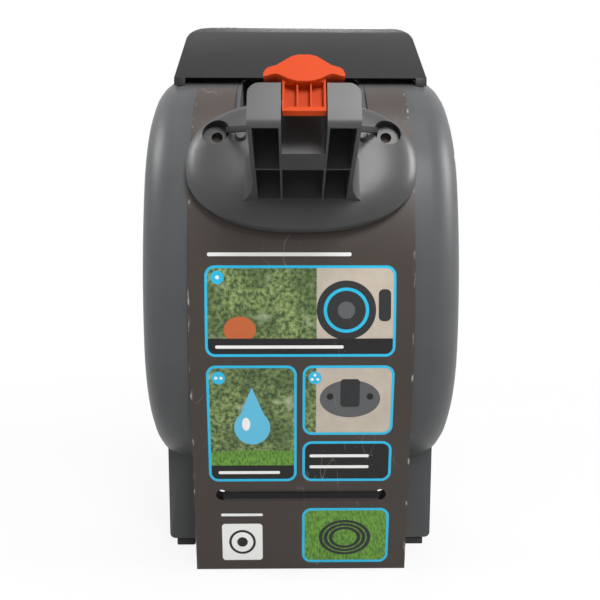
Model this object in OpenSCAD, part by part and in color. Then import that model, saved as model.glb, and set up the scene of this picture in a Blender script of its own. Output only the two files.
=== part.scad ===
// Wall-mounted hose reel box with a spring rewind, standing on its feet as it is sold,
// with both wall brackets and a printed card tied to its back.
// X runs across the box, the back faces -Y and Z points up. Sizes are in millimetres.
// The origin is on the floor, under the middle of the whole object.

/* [Housing] */
// Width across the two side shells
body_w = 267; // [255:1:300]
// Depth of the housing from the reel axis to its back
half_depth = 200; // [194:1:212]
// Height of the housing from the reel axis to its crown
half_height = 196; // [190:1:206]
// Radius of the gently curved back and front
back_r = 400; // [370:5:460]
// Radius of the gently curved crown and underside
crown_r = 330; // [310:5:380]
// Radius of the four corners of the side outline
corner_r = 140; // [130:1:150]
// Radius of the shoulder between the skin and the side face
shoulder_r = 28; // [22:1:30]
// Wall thickness of the shells
wall = 3; // [2.5:0.5:4]
// Height of the reel axis above the floor
axis_h = 266; // [262:1:285]
// Radius of the round seat for the trim ring in each side
seat_r = 163; // [158:1:164]
// Depth of that seat
seat_depth = 11; // [9:0.5:13]

/* [Legs] */
// Distance from the box's side in to the outer face of a leg
leg_inset = 9.5; // [7.5:0.5:15]
// Thickness of a leg across the box
leg_w = 24; // [20:1:26]
// Reach of a leg from the reel axis, at its foot
foot_reach = 99; // [92:1:106]
// Length of a foot, front to back
foot_len = 46; // [38:1:54]
// Reach of a leg from the reel axis, at its root
root_reach = 118; // [112:1:124]
// Depth below the reel axis at which a leg starts inside the shell
root_drop = 105; // [98:1:112]
// Height of a rubber foot pad
pad_h = 8; // [6:0.5:9]

/* [Handle] */
// Width of the handle
handle_w = 230; // [220:1:236]
// Height of the handle's crown above the reel axis
handle_top = 253; // [249:1:258]
// Drop of that crown at the handle's ends
crest_drop = 12; // [9:1:13]
// Radius of the handle's upper corners
hood_round = 20; // [16:1:22]
// Reach of the handle's rear lip from the reel axis
lip_reach = 131; // [127:1:134]
// Height of that lip above the reel axis
lip_rise = 173; // [171:1:178]
// Thickness of the grip
grip_t = 17; // [14:1:20]
// Reach of the grip in front of the reel axis
grip_front = 58; // [50:1:64]
// Thickness of the handle's end cheeks
cheek_t = 10; // [8:1:12]

/* [Swivel] */
// Width of the swivel pocket
pocket_w = 106; // [98:1:112]
// Height of the pocket's floor above the reel axis
pocket_rise = 128; // [125:1:134]
// Reach of the pocket's inner wall behind the reel axis
pocket_in = 84; // [83:1:90]
// Thickness of the pocket's walls
pocket_t = 4; // [3:0.5:5]
// Radius of the swivel pin
swivel_r = 12; // [10:0.5:13]
// Reach of the swivel axis behind the reel axis
swivel_reach = 110; // [107:1:113]

/* [Brackets] */
// Width of a bracket's wall plate
plate_w = 187; // [180:1:190]
// Height of the upper wall plate
plate_h = 112; // [106:1:118]
// How much taller the lower wall plate is than the room under the box
low_plate_over = 24; // [20:1:27]
// Height of a wall plate's dome
plate_dome = 18; // [16:1:20]
// Wall thickness of the brackets
bracket_wall = 3; // [2.5:0.5:4]
// Distance between the two screw holes of a plate
screw_span = 138; // [132:1:144]
// Height of the upper plate's screw holes above its middle
screw_rise = 24; // [20:1:27]
// Radius of a wall screw hole
screw_r = 4.5; // [3.5:0.25:5]
// Radius of its counterbore
sink_r = 11.2; // [10:0.2:12]
// Angle up the back's corner at which the upper bracket lies
bracket_tilt = 14; // [12:0.5:16]
// Reach of the upper bracket's arm from the wall
arm_reach = 118; // [110:1:126]
// Width of the arm
arm_w = 74; // [70:1:78]
// Width of the fork's slot
fork_gap = 30; // [28:1:32]
// Height of the arm's top above the plate's middle
arm_top = 9.5; // [8:0.5:13]
// Height of the arm's end
arm_h = 31.5; // [26:0.5:33]
// Further drop of the arm's underside at its root
arm_drop = 14; // [10:1:16]
// Reach of the lower bracket's arm from its wall face
low_reach = 100; // [92:1:102]

/* [Lock lever] */
// Width of the thumb cap
cap_w = 53; // [46:1:58]
// Height of the thumb cap
cap_h = 16; // [14:1:20]
// Radius of the lever pin
lever_pin_r = 2.5; // [2:0.25:3]

/* [Card and ties] */
// Width of the printed card
card_w = 183; // [176:1:188]
// Thickness of the card
card_t = 0.8; // [0.6:0.1:1.2]
// Gap between the card and the back, where a tie runs
card_gap = 2.2; // [2:0.1:3]
// Slope of the card's lower part
card_slope = 13.9; // [12:0.1:15]
// Angle up the back's corner at which the card ends
card_top_a = 52; // [46:1:56]
// Width of a cable tie
tie_w = 4.8; // [4:0.2:5.4]
// Thickness of a cable tie
tie_t = 1.2; // [1:0.1:1.4]
// Height of the stored lower bracket above the floor
low_lift = 6; // [4:0.5:8]

/* [Reel] */
// Radius of the axle
axle_r = 11; // [10:0.5:12]
// Radius of the water way in the axle
water_r = 6; // [4:0.5:7]
// Radius of the drum core
core_r = 62; // [56:1:68]
// Radius of the drum flanges
flange_r = 143; // [141:1:145]
// Room beside the drum, on each side, for the spring and the ratchet
side_room = 57.5; // [56:0.5:59]
// Thickness of a drum flange
flange_t = 4; // [3:0.5:5]
// Diameter of the hose
hose_d = 15; // [13:0.5:15.2]
// Pitch of the hose's turns
hose_pitch = 15.7; // [15.7:0.1:16]
// Radius of the inner layers of hose
inner_layers_r = 118; // [112:1:118]
// Radius of the rewind spring's case
case_r = 70; // [64:1:74]
// Width of the rewind spring's case
case_w = 24; // [20:1:25]
// Teeth of the ratchet wheel
ratchet_teeth = 24; // [18:1:30]
// Radius of the ratchet wheel at its tips
ratchet_r = 62; // [56:1:66]

/* [Hose guide] */
// Radius of the circle round the reel axis on which the guide screw and rod lie
guide_r = 171; // [170:0.5:172]
// Angle of the guide screw below the horizontal
screw_a = 17.7; // [17:0.1:18.5]
// Angle of the guide rod below the horizontal
rod_a = 27; // [26.5:0.1:28]
// Radius of the guide screw
guide_screw_r = 5; // [4:0.25:5.5]
// Radius of the guide rod
guide_rod_r = 4; // [3:0.25:4.5]
// Radius of the drum's belt pulley
pulley_r = 36; // [30:1:40]
// Radius of the guide screw's belt pulley
guide_pulley_r = 12; // [10:0.5:13]
// Width of the guide carriage
carriage_w = 26; // [22:1:30]
// Upward slope of the hose towards the outlet
hose_slope = 15; // [14:0.5:16]

/* [Front] */
// Width of the front lid
lid_w = 140; // [130:1:146]
// Height of the lid's hinge above the reel axis
hinge_rise = 112; // [106:1:114]
// Height of the lid's lower edge above the reel axis
lid_foot = -18; // [-22:1:-12]
// Depth of the accessory tray behind the lid
tray_depth = 38; // [30:1:40]
// Width of the hose outlet
outlet_w = 168; // [164:1:176]
// Height of the hose outlet
outlet_h = 34; // [30:1:36]

/* [Hidden] */

$fn = 96;
// Gap between two pieces that are fixed to each other
seam = 0.2;
// Gap between two pieces that move past each other
run = 0.5;
// Radial play of a pin that turns in its bore
play = 0.05;
// Depth by which a cutting shape passes the face that it cuts
cut = 1;
half_w = body_w / 2;
leg_out = half_w - leg_inset;
wind_w = body_w - 2 * side_room;
hose_turns = floor((wind_w - hose_d) / hose_pitch);
crown_half = half_w - shoulder_r;
floor_z = -axis_h;
// Lower bracket's plate, its screw holes above its middle, and the tie through them above the floor
low_plate_h = axis_h - half_height + low_plate_over;
low_rise = 0.2 * low_plate_h;
low_tie_h = low_lift + low_plate_h / 2 + low_rise;

// Side outline: the back, crown and corner arcs meet on common tangents
back_c = back_r - half_depth;
crown_c = crown_r - half_height;
centre_gap = norm([back_c, crown_c]);
back_to_corner = back_r - corner_r;
crown_to_corner = crown_r - corner_r;
along = (back_to_corner^2 - crown_to_corner^2 + centre_gap^2) / (2 * centre_gap);
across = sqrt(back_to_corner^2 - along^2);
corner_y = (back_c * (along - centre_gap) + crown_c * across) / centre_gap;
corner_z = (back_c * across - crown_c * along) / centre_gap;
back_a = atan2(corner_z, back_c + corner_y);
crown_a = atan2(corner_y, corner_z + crown_c);
corner_sweep = 90 - back_a - crown_a;
// Each arc: centre y, centre z, radius, start angle and sweep, going round from the front
ARCS = [
  [-back_c, 0, back_r, -back_a, 2 * back_a],
  [corner_y, corner_z, corner_r, back_a, corner_sweep],
  [0, -crown_c, crown_r, 90 - crown_a, 2 * crown_a],
  [-corner_y, corner_z, corner_r, 90 + crown_a, corner_sweep],
  [back_c, 0, back_r, 180 - back_a, 2 * back_a],
  [-corner_y, -corner_z, corner_r, 180 + back_a, corner_sweep],
  [0, crown_c, crown_r, 270 - crown_a, 2 * crown_a],
  [corner_y, -corner_z, corner_r, 270 + crown_a, corner_sweep]];
ARC_STEPS = 11;
function on_arc(a, inset, angle) = [a[0] + (a[2] - inset) * cos(angle), a[1] + (a[2] - inset) * sin(angle)];
function outline(inset) = [for (a = ARCS) for (k = [0 : ARC_STEPS - 1])
  on_arc(a, inset, a[3] + a[4] * k / ARC_STEPS)];
// Height of the outline's upper half at a distance from the reel axis that the crown arc spans
function crown_at(y, inset) = sqrt((crown_r - inset)^2 - y^2) - crown_c;
// Height of a corner arc above the reel axis at a distance from it
function corner_at(y, inset) = corner_z + sqrt((corner_r - inset)^2 - (abs(y) - corner_y)^2);

// Upper bracket's contact point on the card, and how far it reaches back
card_out = card_gap + card_t;
plate_lift = 0.15;
bracket_y = -corner_y - (corner_r + card_out + plate_lift) * cos(bracket_tilt);
bracket_z = corner_z + (corner_r + card_out + plate_lift) * sin(bracket_tilt);
tip_round = 6;
tip_low = arm_h - arm_top;
rear_reach = tip_round - bracket_y + (arm_reach - tip_round) * cos(bracket_tilt)
  + (tip_low - tip_round) * sin(bracket_tilt);

// Hose: outer layer, the tangent at which it leaves, and the stop outside the outlet
winding_r = inner_layers_r + hose_d / 2 + 0.3;
lead_r = winding_r + hose_d + 0.7;
lead_start = [lead_r * sin(hose_slope), -lead_r * cos(hose_slope)];
lead_l = 172;
stop_r = 17;
stop_l = 14;
connector_r = 12;
connector_l = 42;
lead_end = lead_l + stop_l + connector_l;
front_reach = lead_start[0] + lead_end * cos(hose_slope) + connector_r * sin(hose_slope);
reel_y = (rear_reach - front_reach) / 2;

// Places along the axle
hub_in = half_w - seat_depth - wall;
flange_x = wind_w / 2;
drum_end = flange_x + flange_t;
boss_r = axle_r + 8;
boss_in = hub_in - 12;

// Guide screw and rod
screw_y = guide_r * cos(screw_a);
screw_z = -guide_r * sin(screw_a);
rod_y = guide_r * cos(rod_a);
rod_z = -guide_r * sin(rod_a);
guide_end = half_w - wall - 28;
guide_boss_r = 7.5;

// Places on the front
outlet_s = 163;
outlet_y = lead_start[0] + outlet_s * cos(hose_slope);
outlet_z = lead_start[1] + outlet_s * sin(hose_slope);
hinge_r = 4;
lid_pin_r = 1.8;
lid_ear = 4;
lid_pin_end = lid_w / 2 + run + lid_ear;
hinge_y = corner_y + sqrt((corner_r - wall / 2)^2 - (hinge_rise - corner_z)^2);

// Puts a shape drawn round the reel axis in its place over the floor
module reel() {
  translate([0, reel_y, axis_h]) children();
}
// Turns a flat drawing of y and z upright, with its thickness along +X
module side_on() {
  rotate([90, 0, 90]) children();
}
// A cylinder along X from x0 to x1, at y and z
module x_rod(r, x0, x1, y = 0, z = 0) {
  translate([x0, y, z]) rotate([0, 90, 0]) cylinder(r = r, h = x1 - x0);
}
// Turns a drawing of radius and x round the reel axis
module x_turn() {
  rotate([90, 0, 90]) rotate_extrude() children();
}
// A block between two corners
module block(a, b) {
  translate(a) cube(b - a);
}
// A slab of the side outline between x0 and x1
module outline_slab(inset, x0, x1) {
  translate([x0, 0, 0]) side_on() linear_extrude(x1 - x0) polygon(outline(inset));
}

// A curved wall between two insets of the side outline, to a distance either side of the middle
module outline_ring(inset0, inset1, half) {
  difference() {
    outline_slab(inset0, -half, half);
    outline_slab(inset1, -half - cut, half + cut);
  }
}
// The sloping block of the hose outlet, smaller all round by an inset
module outlet_block(inset, deep) {
  half = outlet_w / 2 - inset;
  translate([0, outlet_y, outlet_z]) rotate([hose_slope, 0, 0])
    block([-half, -deep, inset - outlet_h / 2], [half, 2 * deep, outlet_h / 2 - inset]);
}

// Rows of the shoulder from the crown's edge to the side: x and inset from the outline
SHOULDER_STEPS = 6;
function shoulder_row(inset, k) = let (t = 90 * k / SHOULDER_STEPS)
  [crown_half + (shoulder_r - inset) * sin(t), shoulder_r - (shoulder_r - inset) * cos(t)];
function shell_rows(inset, x0) = concat([[x0, inset]],
  [for (k = [0 : SHOULDER_STEPS]) shoulder_row(inset, k)]);
// The rounded block that one shell is cut from, or hollowed by when inset
module half_block(inset, x0) {
  rows = shell_rows(inset, x0);
  n = len(outline(0));
  top = (len(rows) - 1) * n;
  polyhedron(
    [for (r = rows, p = outline(r[1])) [r[0], p[0], p[1]]],
    concat(
      [[for (k = [0 : n - 1]) k]],
      [for (j = [0 : len(rows) - 2], k = [0 : n - 1])
        [j * n + k, (j + 1) * n + k, (j + 1) * n + (k + 1) % n, j * n + (k + 1) % n]],
      [[for (k = [n - 1 : -1 : 0]) top + k]]));
}
// The skin and flat side of one shell, with a round hole for the seat
module skin() {
  difference() {
    half_block(0, 0);
    half_block(wall, -crown_half);
    x_rod(seat_r, hub_in, half_w + cut);
  }
}
// The round seat in one shell's side, with the wall behind it and the axle's boss
module side_wall() {
  x_turn() {
    translate([seat_r, hub_in]) square([wall, half_w - wall / 2 - hub_in]);
    translate([0, hub_in]) square([seat_r + wall / 2, wall]);
    translate([0, boss_in]) square([boss_r, hub_in + wall / 2 - boss_in]);
  }
}
// Side outline of one leg, hollow when inset: it sinks into the shell at its root
leg_sink = 12;
leg_taper = 7;
module leg_outline(inset) {
  difference() {
    polygon([
      [-root_reach + inset, -root_drop],
      [-foot_reach + inset, floor_z + pad_h],
      [-foot_reach + foot_len - inset, floor_z + pad_h],
      [-foot_reach + foot_len - leg_taper - inset, -root_drop]]);
    polygon(outline(leg_sink - inset));
  }
}
// The back leg of one side, with a rounded outer corner at its foot
leg_round = 5;
module leg() {
  low_z = floor_z + pad_h;
  difference() {
    translate([leg_out - leg_w, 0, 0]) side_on() linear_extrude(leg_w) leg_outline(0);
    translate([leg_out - leg_w + wall, 0, -cut]) side_on()
      linear_extrude(leg_w - 2 * wall) leg_outline(wall);
    difference() {
      block([leg_out - leg_round, -half_depth, low_z - cut], [leg_out + cut, half_depth, low_z + leg_round]);
      translate([leg_out - leg_round, half_depth + cut, low_z + leg_round]) rotate([90, 0, 0])
        cylinder(r = leg_round, h = 2 * half_depth + 2 * cut);
    }
  }
}
// Places of the long housing screws: a corner of the outline each, and how far along its arc
screw_inset = 22;
SCREWS = [for (p = [[1, 0.5], [3, 0.8], [5, 0.5], [7, 0.5]]) let (a = ARCS[p[0]])
  on_arc(a, screw_inset, a[3] + a[4] * p[1])];
housing_screw_r = 2.2;
housing_head_r = 4.2;
housing_boss_r = 6.5;
housing_head_x = half_w - 30;
// Bosses inside one shell for the housing screws, the guide and the pawl
module bosses() {
  for (p = SCREWS) x_rod(housing_boss_r, 0, half_w - wall - 1, p[0], p[1]);
  x_rod(hinge_r, lid_w / 2 + run, lid_w / 2 + run + lid_ear + 2, hinge_y, hinge_rise);
  x_rod(guide_boss_r, guide_end, half_w - wall / 2, screw_y, screw_z);
  x_rod(guide_boss_r, guide_end, half_w - wall / 2, rod_y, rod_z);
}
// One shell without its openings, on the +X side
module shell_body() {
  skin();
  side_wall();
  leg();
  mirror([0, 1, 0]) leg();
  bosses();
}
// Openings that both shells share
module shell_openings() {
  half_pocket = pocket_w / 2 + pocket_t + seam;
  block([-half_pocket, -half_depth - cut, pocket_rise - pocket_t - seam],
    [half_pocket, -pocket_in + pocket_t + seam, half_height + cut]);
  half_lid = lid_w / 2 + run;
  block([-half_lid, hinge_y - 40, lid_foot - run], [half_lid, half_depth + cut, hinge_rise + hinge_r + run]);
  outlet_block(0, 20);
  x_rod(axle_r + play, -hub_in - wall / 2, hub_in + wall / 2);
  x_rod(guide_screw_r + play, -guide_end - 16, guide_end + 16, screw_y, screw_z);
  x_rod(guide_rod_r + play, -guide_end - 16, guide_end + 16, rod_y, rod_z);
  x_rod(lid_pin_r + seam / 2, -lid_pin_end - seam, lid_pin_end + seam, hinge_y, hinge_rise);
  for (p = HANDLE_SCREWS) translate([p[0], p[1], corner_z])
    cylinder(r = handle_screw_r + seam, h = half_height);
  translate([0, -swivel_reach, -half_height]) cylinder(r = post_bolt_r + seam, h = half_height - corner_z);
}

module left_shell() {
  color("dimgray") reel() difference() {
    mirror([1, 0, 0]) shell_body();
    shell_openings();
    x_rod(inlet_flange_r + seam, -half_w, -hub_in + cut);
    x_rod(pawl_pin_r + play, -hub_in - wall / 2, -drum_end, pawl_y, pawl_z);
    for (p = SCREWS) x_rod(housing_screw_r + seam / 2, -40, cut, p[0], p[1]);
  }
}
module right_shell() {
  color("dimgray") reel() difference() {
    shell_body();
    shell_openings();
    for (p = SCREWS) {
      x_rod(housing_screw_r + seam, -cut, half_w, p[0], p[1]);
      x_rod(housing_head_r + seam, housing_head_x, half_w + cut, p[0], p[1]);
    }
  }
}
// Long screws that hold the shells together, sunk in the right shell
module housing_screws() {
  color("silver") reel() for (p = SCREWS) {
    x_rod(housing_screw_r, -38, housing_head_x + 1, p[0], p[1]);
    difference() {
      x_rod(housing_head_r, housing_head_x, housing_head_x + 3.5, p[0], p[1]);
      translate([housing_head_x + 2, p[0], p[1]]) cube([6, 1.2, 5], center = true);
    }
  }
}

// Side covers and trim rings, on the +X side
ring_w = 20;
cover_hole_r = 26;
module trim_ring() {
  x_turn() {
    translate([seat_r - ring_w, half_w - seat_depth + seam]) square([ring_w - seam, seat_depth - 4]);
    translate([seat_r - ring_w + 4, half_w - seat_depth + seam])
      square([ring_w - 8 - seam, seat_depth - seam]);
    for (r = [seat_r - ring_w + 4, seat_r - 4 - seam]) translate([r, half_w - 4]) circle(4);
  }
}
cover_in = half_w - seat_depth + seam;
cover_out_r = seat_r - ring_w - seam;
// Rim of a cover, as radius and x
COVER_RIM = [[cover_out_r, cover_in], [cover_out_r, cover_in + 5.5], [cover_out_r - 4, cover_in + 7],
  [cover_out_r * 0.63, cover_in + 9]];
module left_side_cover() {
  color("darkslategray") reel() mirror([1, 0, 0]) x_turn()
    polygon(concat([[cover_hole_r, cover_in]], COVER_RIM,
      [[cover_hole_r + 8, cover_in + 9.5], [cover_hole_r + 3, cover_in + 8], [cover_hole_r, cover_in + 5]]));
}
module right_side_cover() {
  color("darkslategray") reel() x_turn()
    polygon(concat([[0, cover_in]], COVER_RIM, [[cover_hole_r, cover_in + 9.5], [0, cover_in + 9.8]]));
}
module left_trim_ring() {
  color("darkcyan") reel() mirror([1, 0, 0]) trim_ring();
}
module right_trim_ring() {
  color("darkcyan") reel() trim_ring();
}

// Rubber pads under the four legs
module foot_pads() {
  inset = 3;
  plug = 10;
  color("black") reel() for (sx = [-1, 1], sy = [-1, 1]) scale([sx, sy, 1]) {
    block([leg_out - leg_w + 0.5, -foot_reach + inset, floor_z],
      [leg_out - 6, -foot_reach + foot_len - inset, floor_z + pad_h]);
    block([leg_out - leg_w + wall + 1, -foot_reach + wall + inset, floor_z + pad_h],
      [leg_out - 6, -foot_reach + foot_len - 12, floor_z + pad_h + plug]);
  }
}

// Carrying handle: a sloping back, a flat crest and a rounded front edge, on two cheeks
skin_t = 5;
crest_back = 58;
nose_r = grip_t / 2;
handle_screw_r = 2;
HANDLE_SCREWS = [for (sx = [-1, 1], y = [-48, 34]) [sx * (handle_w - cheek_t) / 2, y]];
function nose(k) = let (a = 90 - 20 * k)
  [grip_front - nose_r + nose_r * cos(a), handle_top - nose_r + nose_r * sin(a)];
edge_drop = 16;
HOOD_TOP = concat(
  [[-lip_reach, lip_rise], [-crest_back - 8, handle_top - edge_drop], [-crest_back + 2, handle_top - 8],
    [-crest_back + 12, handle_top - 3], [-crest_back + 24, handle_top]],
  [for (k = [0 : 9]) nose(k)]);
// Underside of the hood before its crowned hollow is cut
bar_low = handle_top - 2 * nose_r;
HOOD_LOW = [
  [grip_front - 2 * nose_r, bar_low],
  [-crest_back - 2, bar_low],
  [-crest_back - 4.5, handle_top - edge_drop - skin_t * 0.7],
  [-lip_reach + skin_t * 1.42, lip_rise]];
HOLLOW = [
  [grip_front - 2 * nose_r, bar_low - cut],
  [grip_front - 2 * nose_r, handle_top - skin_t],
  [-crest_back + 25, handle_top - skin_t],
  [-crest_back + 14, handle_top - 3 - skin_t],
  [-crest_back + 5, handle_top - 8 - skin_t * 0.85],
  [-crest_back - 2, bar_low - cut]];
// Crown of the handle across the box
crest_r = (handle_w / 2)^2 / (2 * crest_drop);
module crest(inset) {
  translate([0, 2 * half_depth, handle_top - crest_r]) rotate([90, 0, 0])
    cylinder(r = crest_r - inset, h = 4 * half_depth);
}
// The crown with rounded upper corners and sides that draw in upwards, as long as the box is deep
hood_taper = 2.5;
module crown() {
  half = handle_w / 2;
  top_half = half - hood_taper;
  corner_x = top_half - hood_round;
  side_top = handle_top - crest_drop * (corner_x / half)^2 - hood_round;
  intersection() {
    crest(0);
    union() {
      translate([0, half_depth, 0]) rotate([90, 0, 0]) linear_extrude(2 * half_depth)
        polygon([[-half, 0], [half, 0], [half, lip_rise], [top_half, side_top], [-top_half, side_top],
          [-half, lip_rise]]);
      block([-corner_x, -half_depth, 0], [corner_x, half_depth, handle_top + cut]);
      for (sx = [-1, 1]) translate([sx * corner_x, half_depth, side_top]) rotate([90, 0, 0])
        cylinder(r = hood_round, h = 2 * half_depth);
    }
  }
}
// Slab between the ends of the handle, drawn by its side view
module across_handle(points, half) {
  translate([-half, 0, 0]) side_on() linear_extrude(2 * half) polygon(points);
}
module handle() {
  half = handle_w / 2;
  closed = concat(HOOD_TOP, [[grip_front - nose_r, 0], [-lip_reach, 0]]);
  color("dimgray") reel() difference() {
    intersection() {
      crown();
      union() {
        across_handle(concat(HOOD_TOP, HOOD_LOW), half);
        for (x = [-half, half - cheek_t])
          translate([x, 0, 0]) side_on() linear_extrude(cheek_t) difference() {
            polygon(closed);
            polygon(outline(-seam));
          }
        intersection() {
          translate([0, -swivel_reach, swivel_top - 12]) cylinder(r = swivel_r + 6, h = 60);
          across_handle(closed, half);
        }
      }
    }
    intersection() {
      across_handle(HOLLOW, half - cheek_t);
      crest(skin_t);
    }
    translate([0, -swivel_reach, 0]) cylinder(r = swivel_r + seam, h = swivel_top + seam);
    for (p = HANDLE_SCREWS) translate([p[0], p[1], 0])
      cylinder(r = handle_screw_r + seam, h = half_height + 22);
  }
}
module handle_screws() {
  color("silver") reel() for (p = HANDLE_SCREWS) {
    head_r = 4;
    head_z = crown_at(abs(p[1]) + head_r, wall + 2) - 3;
    translate([p[0], p[1], head_z]) cylinder(r = handle_screw_r, h = 28);
    translate([p[0], p[1], head_z]) cylinder(r = head_r, h = 3);
  }
}

// Swivel pocket: an open box let into the back, with the pin that the fork grips
swivel_top = lip_rise + 2;
module swivel_pocket() {
  half_in = pocket_w / 2;
  half_out = half_in + pocket_t;
  color("dimgray") reel() difference() {
    intersection() {
      outline_slab(0, -half_out, half_out);
      block([-half_out, -half_depth, pocket_rise - pocket_t], [half_out, -pocket_in + pocket_t, half_height]);
    }
    block([-half_in, -half_depth - cut, pocket_rise], [half_in, -pocket_in, half_height + cut]);
    translate([0, -swivel_reach, 0]) cylinder(r = swivel_r + seam / 2, h = pocket_rise + cut);
  }
}
module swivel_pin() {
  foot = pocket_rise - pocket_t;
  color("silver") reel() translate([0, -swivel_reach, foot]) {
    cylinder(r = swivel_r, h = swivel_top - foot);
    translate([0, 0, -2]) cylinder(r = swivel_r - 3, h = 3);
  }
}
// Lower swivel post, bolted through the underside
post_r = 10;
post_bolt_r = 4;
post_l = 0.37 * (axis_h - half_height);
post_nut_r = 8;
module lower_swivel_post() {
  collar_r = post_r + 5;
  collar_z = -corner_at(swivel_reach - collar_r, 0) - 1.5;
  nut_z = seam - corner_at(swivel_reach + post_nut_r, wall);
  color("silver") reel() translate([0, -swivel_reach, 0]) {
    difference() {
      translate([0, 0, collar_z]) cylinder(r = collar_r, h = 2 * collar_r);
      translate([0, swivel_reach, 0]) outline_slab(-seam, -2 * collar_r, 2 * collar_r);
    }
    translate([0, 0, collar_z - post_l]) cylinder(r = post_r, h = post_l + cut);
    translate([0, 0, collar_z]) cylinder(r = post_bolt_r, h = nut_z - collar_z + 5);
    translate([0, 0, nut_z]) cylinder(r = post_nut_r, h = 4);
  }
}

// Wall plate of a bracket, its wall face on y = 0 and its dome towards -Y
plate_edge = 6;
// Points of an oval that is a little squarer than an ellipse
oval_power = 2.35;
function squarer(c) = sign(c) * abs(c)^(2 / oval_power);
OVAL_STEPS = 48;
function oval(w, h) = [for (k = [0 : OVAL_STEPS - 1]) let (a = 360 * k / OVAL_STEPS)
  [squarer(cos(a)) * w / 2, squarer(sin(a)) * h / 2]];
module plate_oval(w, h, y0, y1) {
  translate([0, -y0, 0]) rotate([90, 0, 0]) linear_extrude(y1 - y0) polygon(oval(w, h));
}
DOME_STEPS = 5;
module plate_dome(h, inset) {
  hull() for (k = [0 : DOME_STEPS]) let (t = k / DOME_STEPS, narrow = 0.44 * t^1.7)
    plate_oval(plate_w * (1 - narrow) - 2 * inset, h * (1 - narrow) - 2 * inset,
      k == 0 ? -inset : 0, (plate_dome - plate_edge) * sin(90 * t) + plate_edge - inset * (1 + t) / 2);
}
sink_floor = 4;
tie_slot_x = screw_span / 2 - screw_r - 4.5;
// Screw boss, counterbore and hole, with a slot beside the hole for a cable tie
module screw_boss(x, z) {
  translate([x, 0, z]) rotate([90, 0, 0]) cylinder(r = sink_r + bracket_wall, h = plate_dome);
}
module screw_hole(x, z) {
  translate([x, cut, z]) rotate([90, 0, 0]) cylinder(r = screw_r, h = plate_dome + 2 * cut);
  translate([x, -sink_floor, z]) rotate([90, 0, 0]) cylinder(r = sink_r, h = plate_dome);
}
module tie_slot(side, z) {
  block([side * tie_slot_x - 1.6, -plate_dome, z - tie_w / 2 - 0.5],
    [side * tie_slot_x + 1.6, cut, z + tie_w / 2 + 0.5]);
}
module plate(h, rise) {
  difference() {
    union() {
      difference() {
        plate_dome(h, 0);
        plate_dome(h, bracket_wall);
      }
      for (s = [-1, 1]) intersection() {
        screw_boss(s * screw_span / 2, rise);
        plate_dome(h, 0.5);
      }
    }
    for (s = [-1, 1]) {
      screw_hole(s * screw_span / 2, rise);
      tie_slot(s, rise);
    }
  }
}

// Forked arm of the upper bracket, hollow underneath
fork_depth = 36;
slot_depth = 33;
rib_t = 1.6;
arm_root = 9;
rib_reach = 64;
lug_y = -27;
lug_z = arm_top + 8;
lug_r = 6;
lug_t = 5;
lever_half = 13.5;
function arm_under(y) = arm_top - arm_h - arm_drop * (arm_reach + y) / (arm_reach - arm_root);
// Side outline of the arm: distance from the wall along -Y, and height
module arm_side(inset) {
  polygon(concat(
    [[-arm_root, arm_under(-arm_root)]],
    [for (k = [0 : 6]) [-arm_reach + tip_round - (tip_round - inset) * sin(15 * k),
      arm_top - arm_h + tip_round - (tip_round - inset) * cos(15 * k)]],
    [[-arm_reach + inset, arm_top - inset], [-arm_root, arm_top - inset]]));
}
module arm_solid() {
  corner = 8;
  intersection() {
    translate([-arm_w / 2, 0, 0]) side_on() linear_extrude(arm_w) arm_side(0);
    rotate([90, 0, 0]) linear_extrude(arm_reach + cut) {
      translate([-arm_w / 2, -plate_h]) square([arm_w, plate_h + arm_top - corner]);
      translate([-arm_w / 2 + corner, -plate_h]) square([arm_w - 2 * corner, plate_h + arm_top]);
      for (s = [-1, 1]) translate([s * (arm_w / 2 - corner), arm_top - corner]) circle(corner);
    }
  }
  // Flared cheeks where the arm meets the plate
  flare_y = -plate_dome + 4;
  for (s = [-1, 1]) scale([s, 1, 1]) intersection() {
    translate([0, 0, arm_under(-arm_root)]) linear_extrude(arm_top - 9 - arm_under(-arm_root))
      polygon([[arm_w / 2 - bracket_wall, flare_y], [arm_w / 2 + 11, flare_y], [arm_w / 2 + 5, flare_y - 8],
        [arm_w / 2 + 1.5, flare_y - 18], [arm_w / 2, flare_y - 32],
        [arm_w / 2 - bracket_wall, flare_y - 32]]);
    translate([-arm_w, 0, 0]) side_on() linear_extrude(2 * arm_w) arm_side(0);
  }
}
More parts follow.
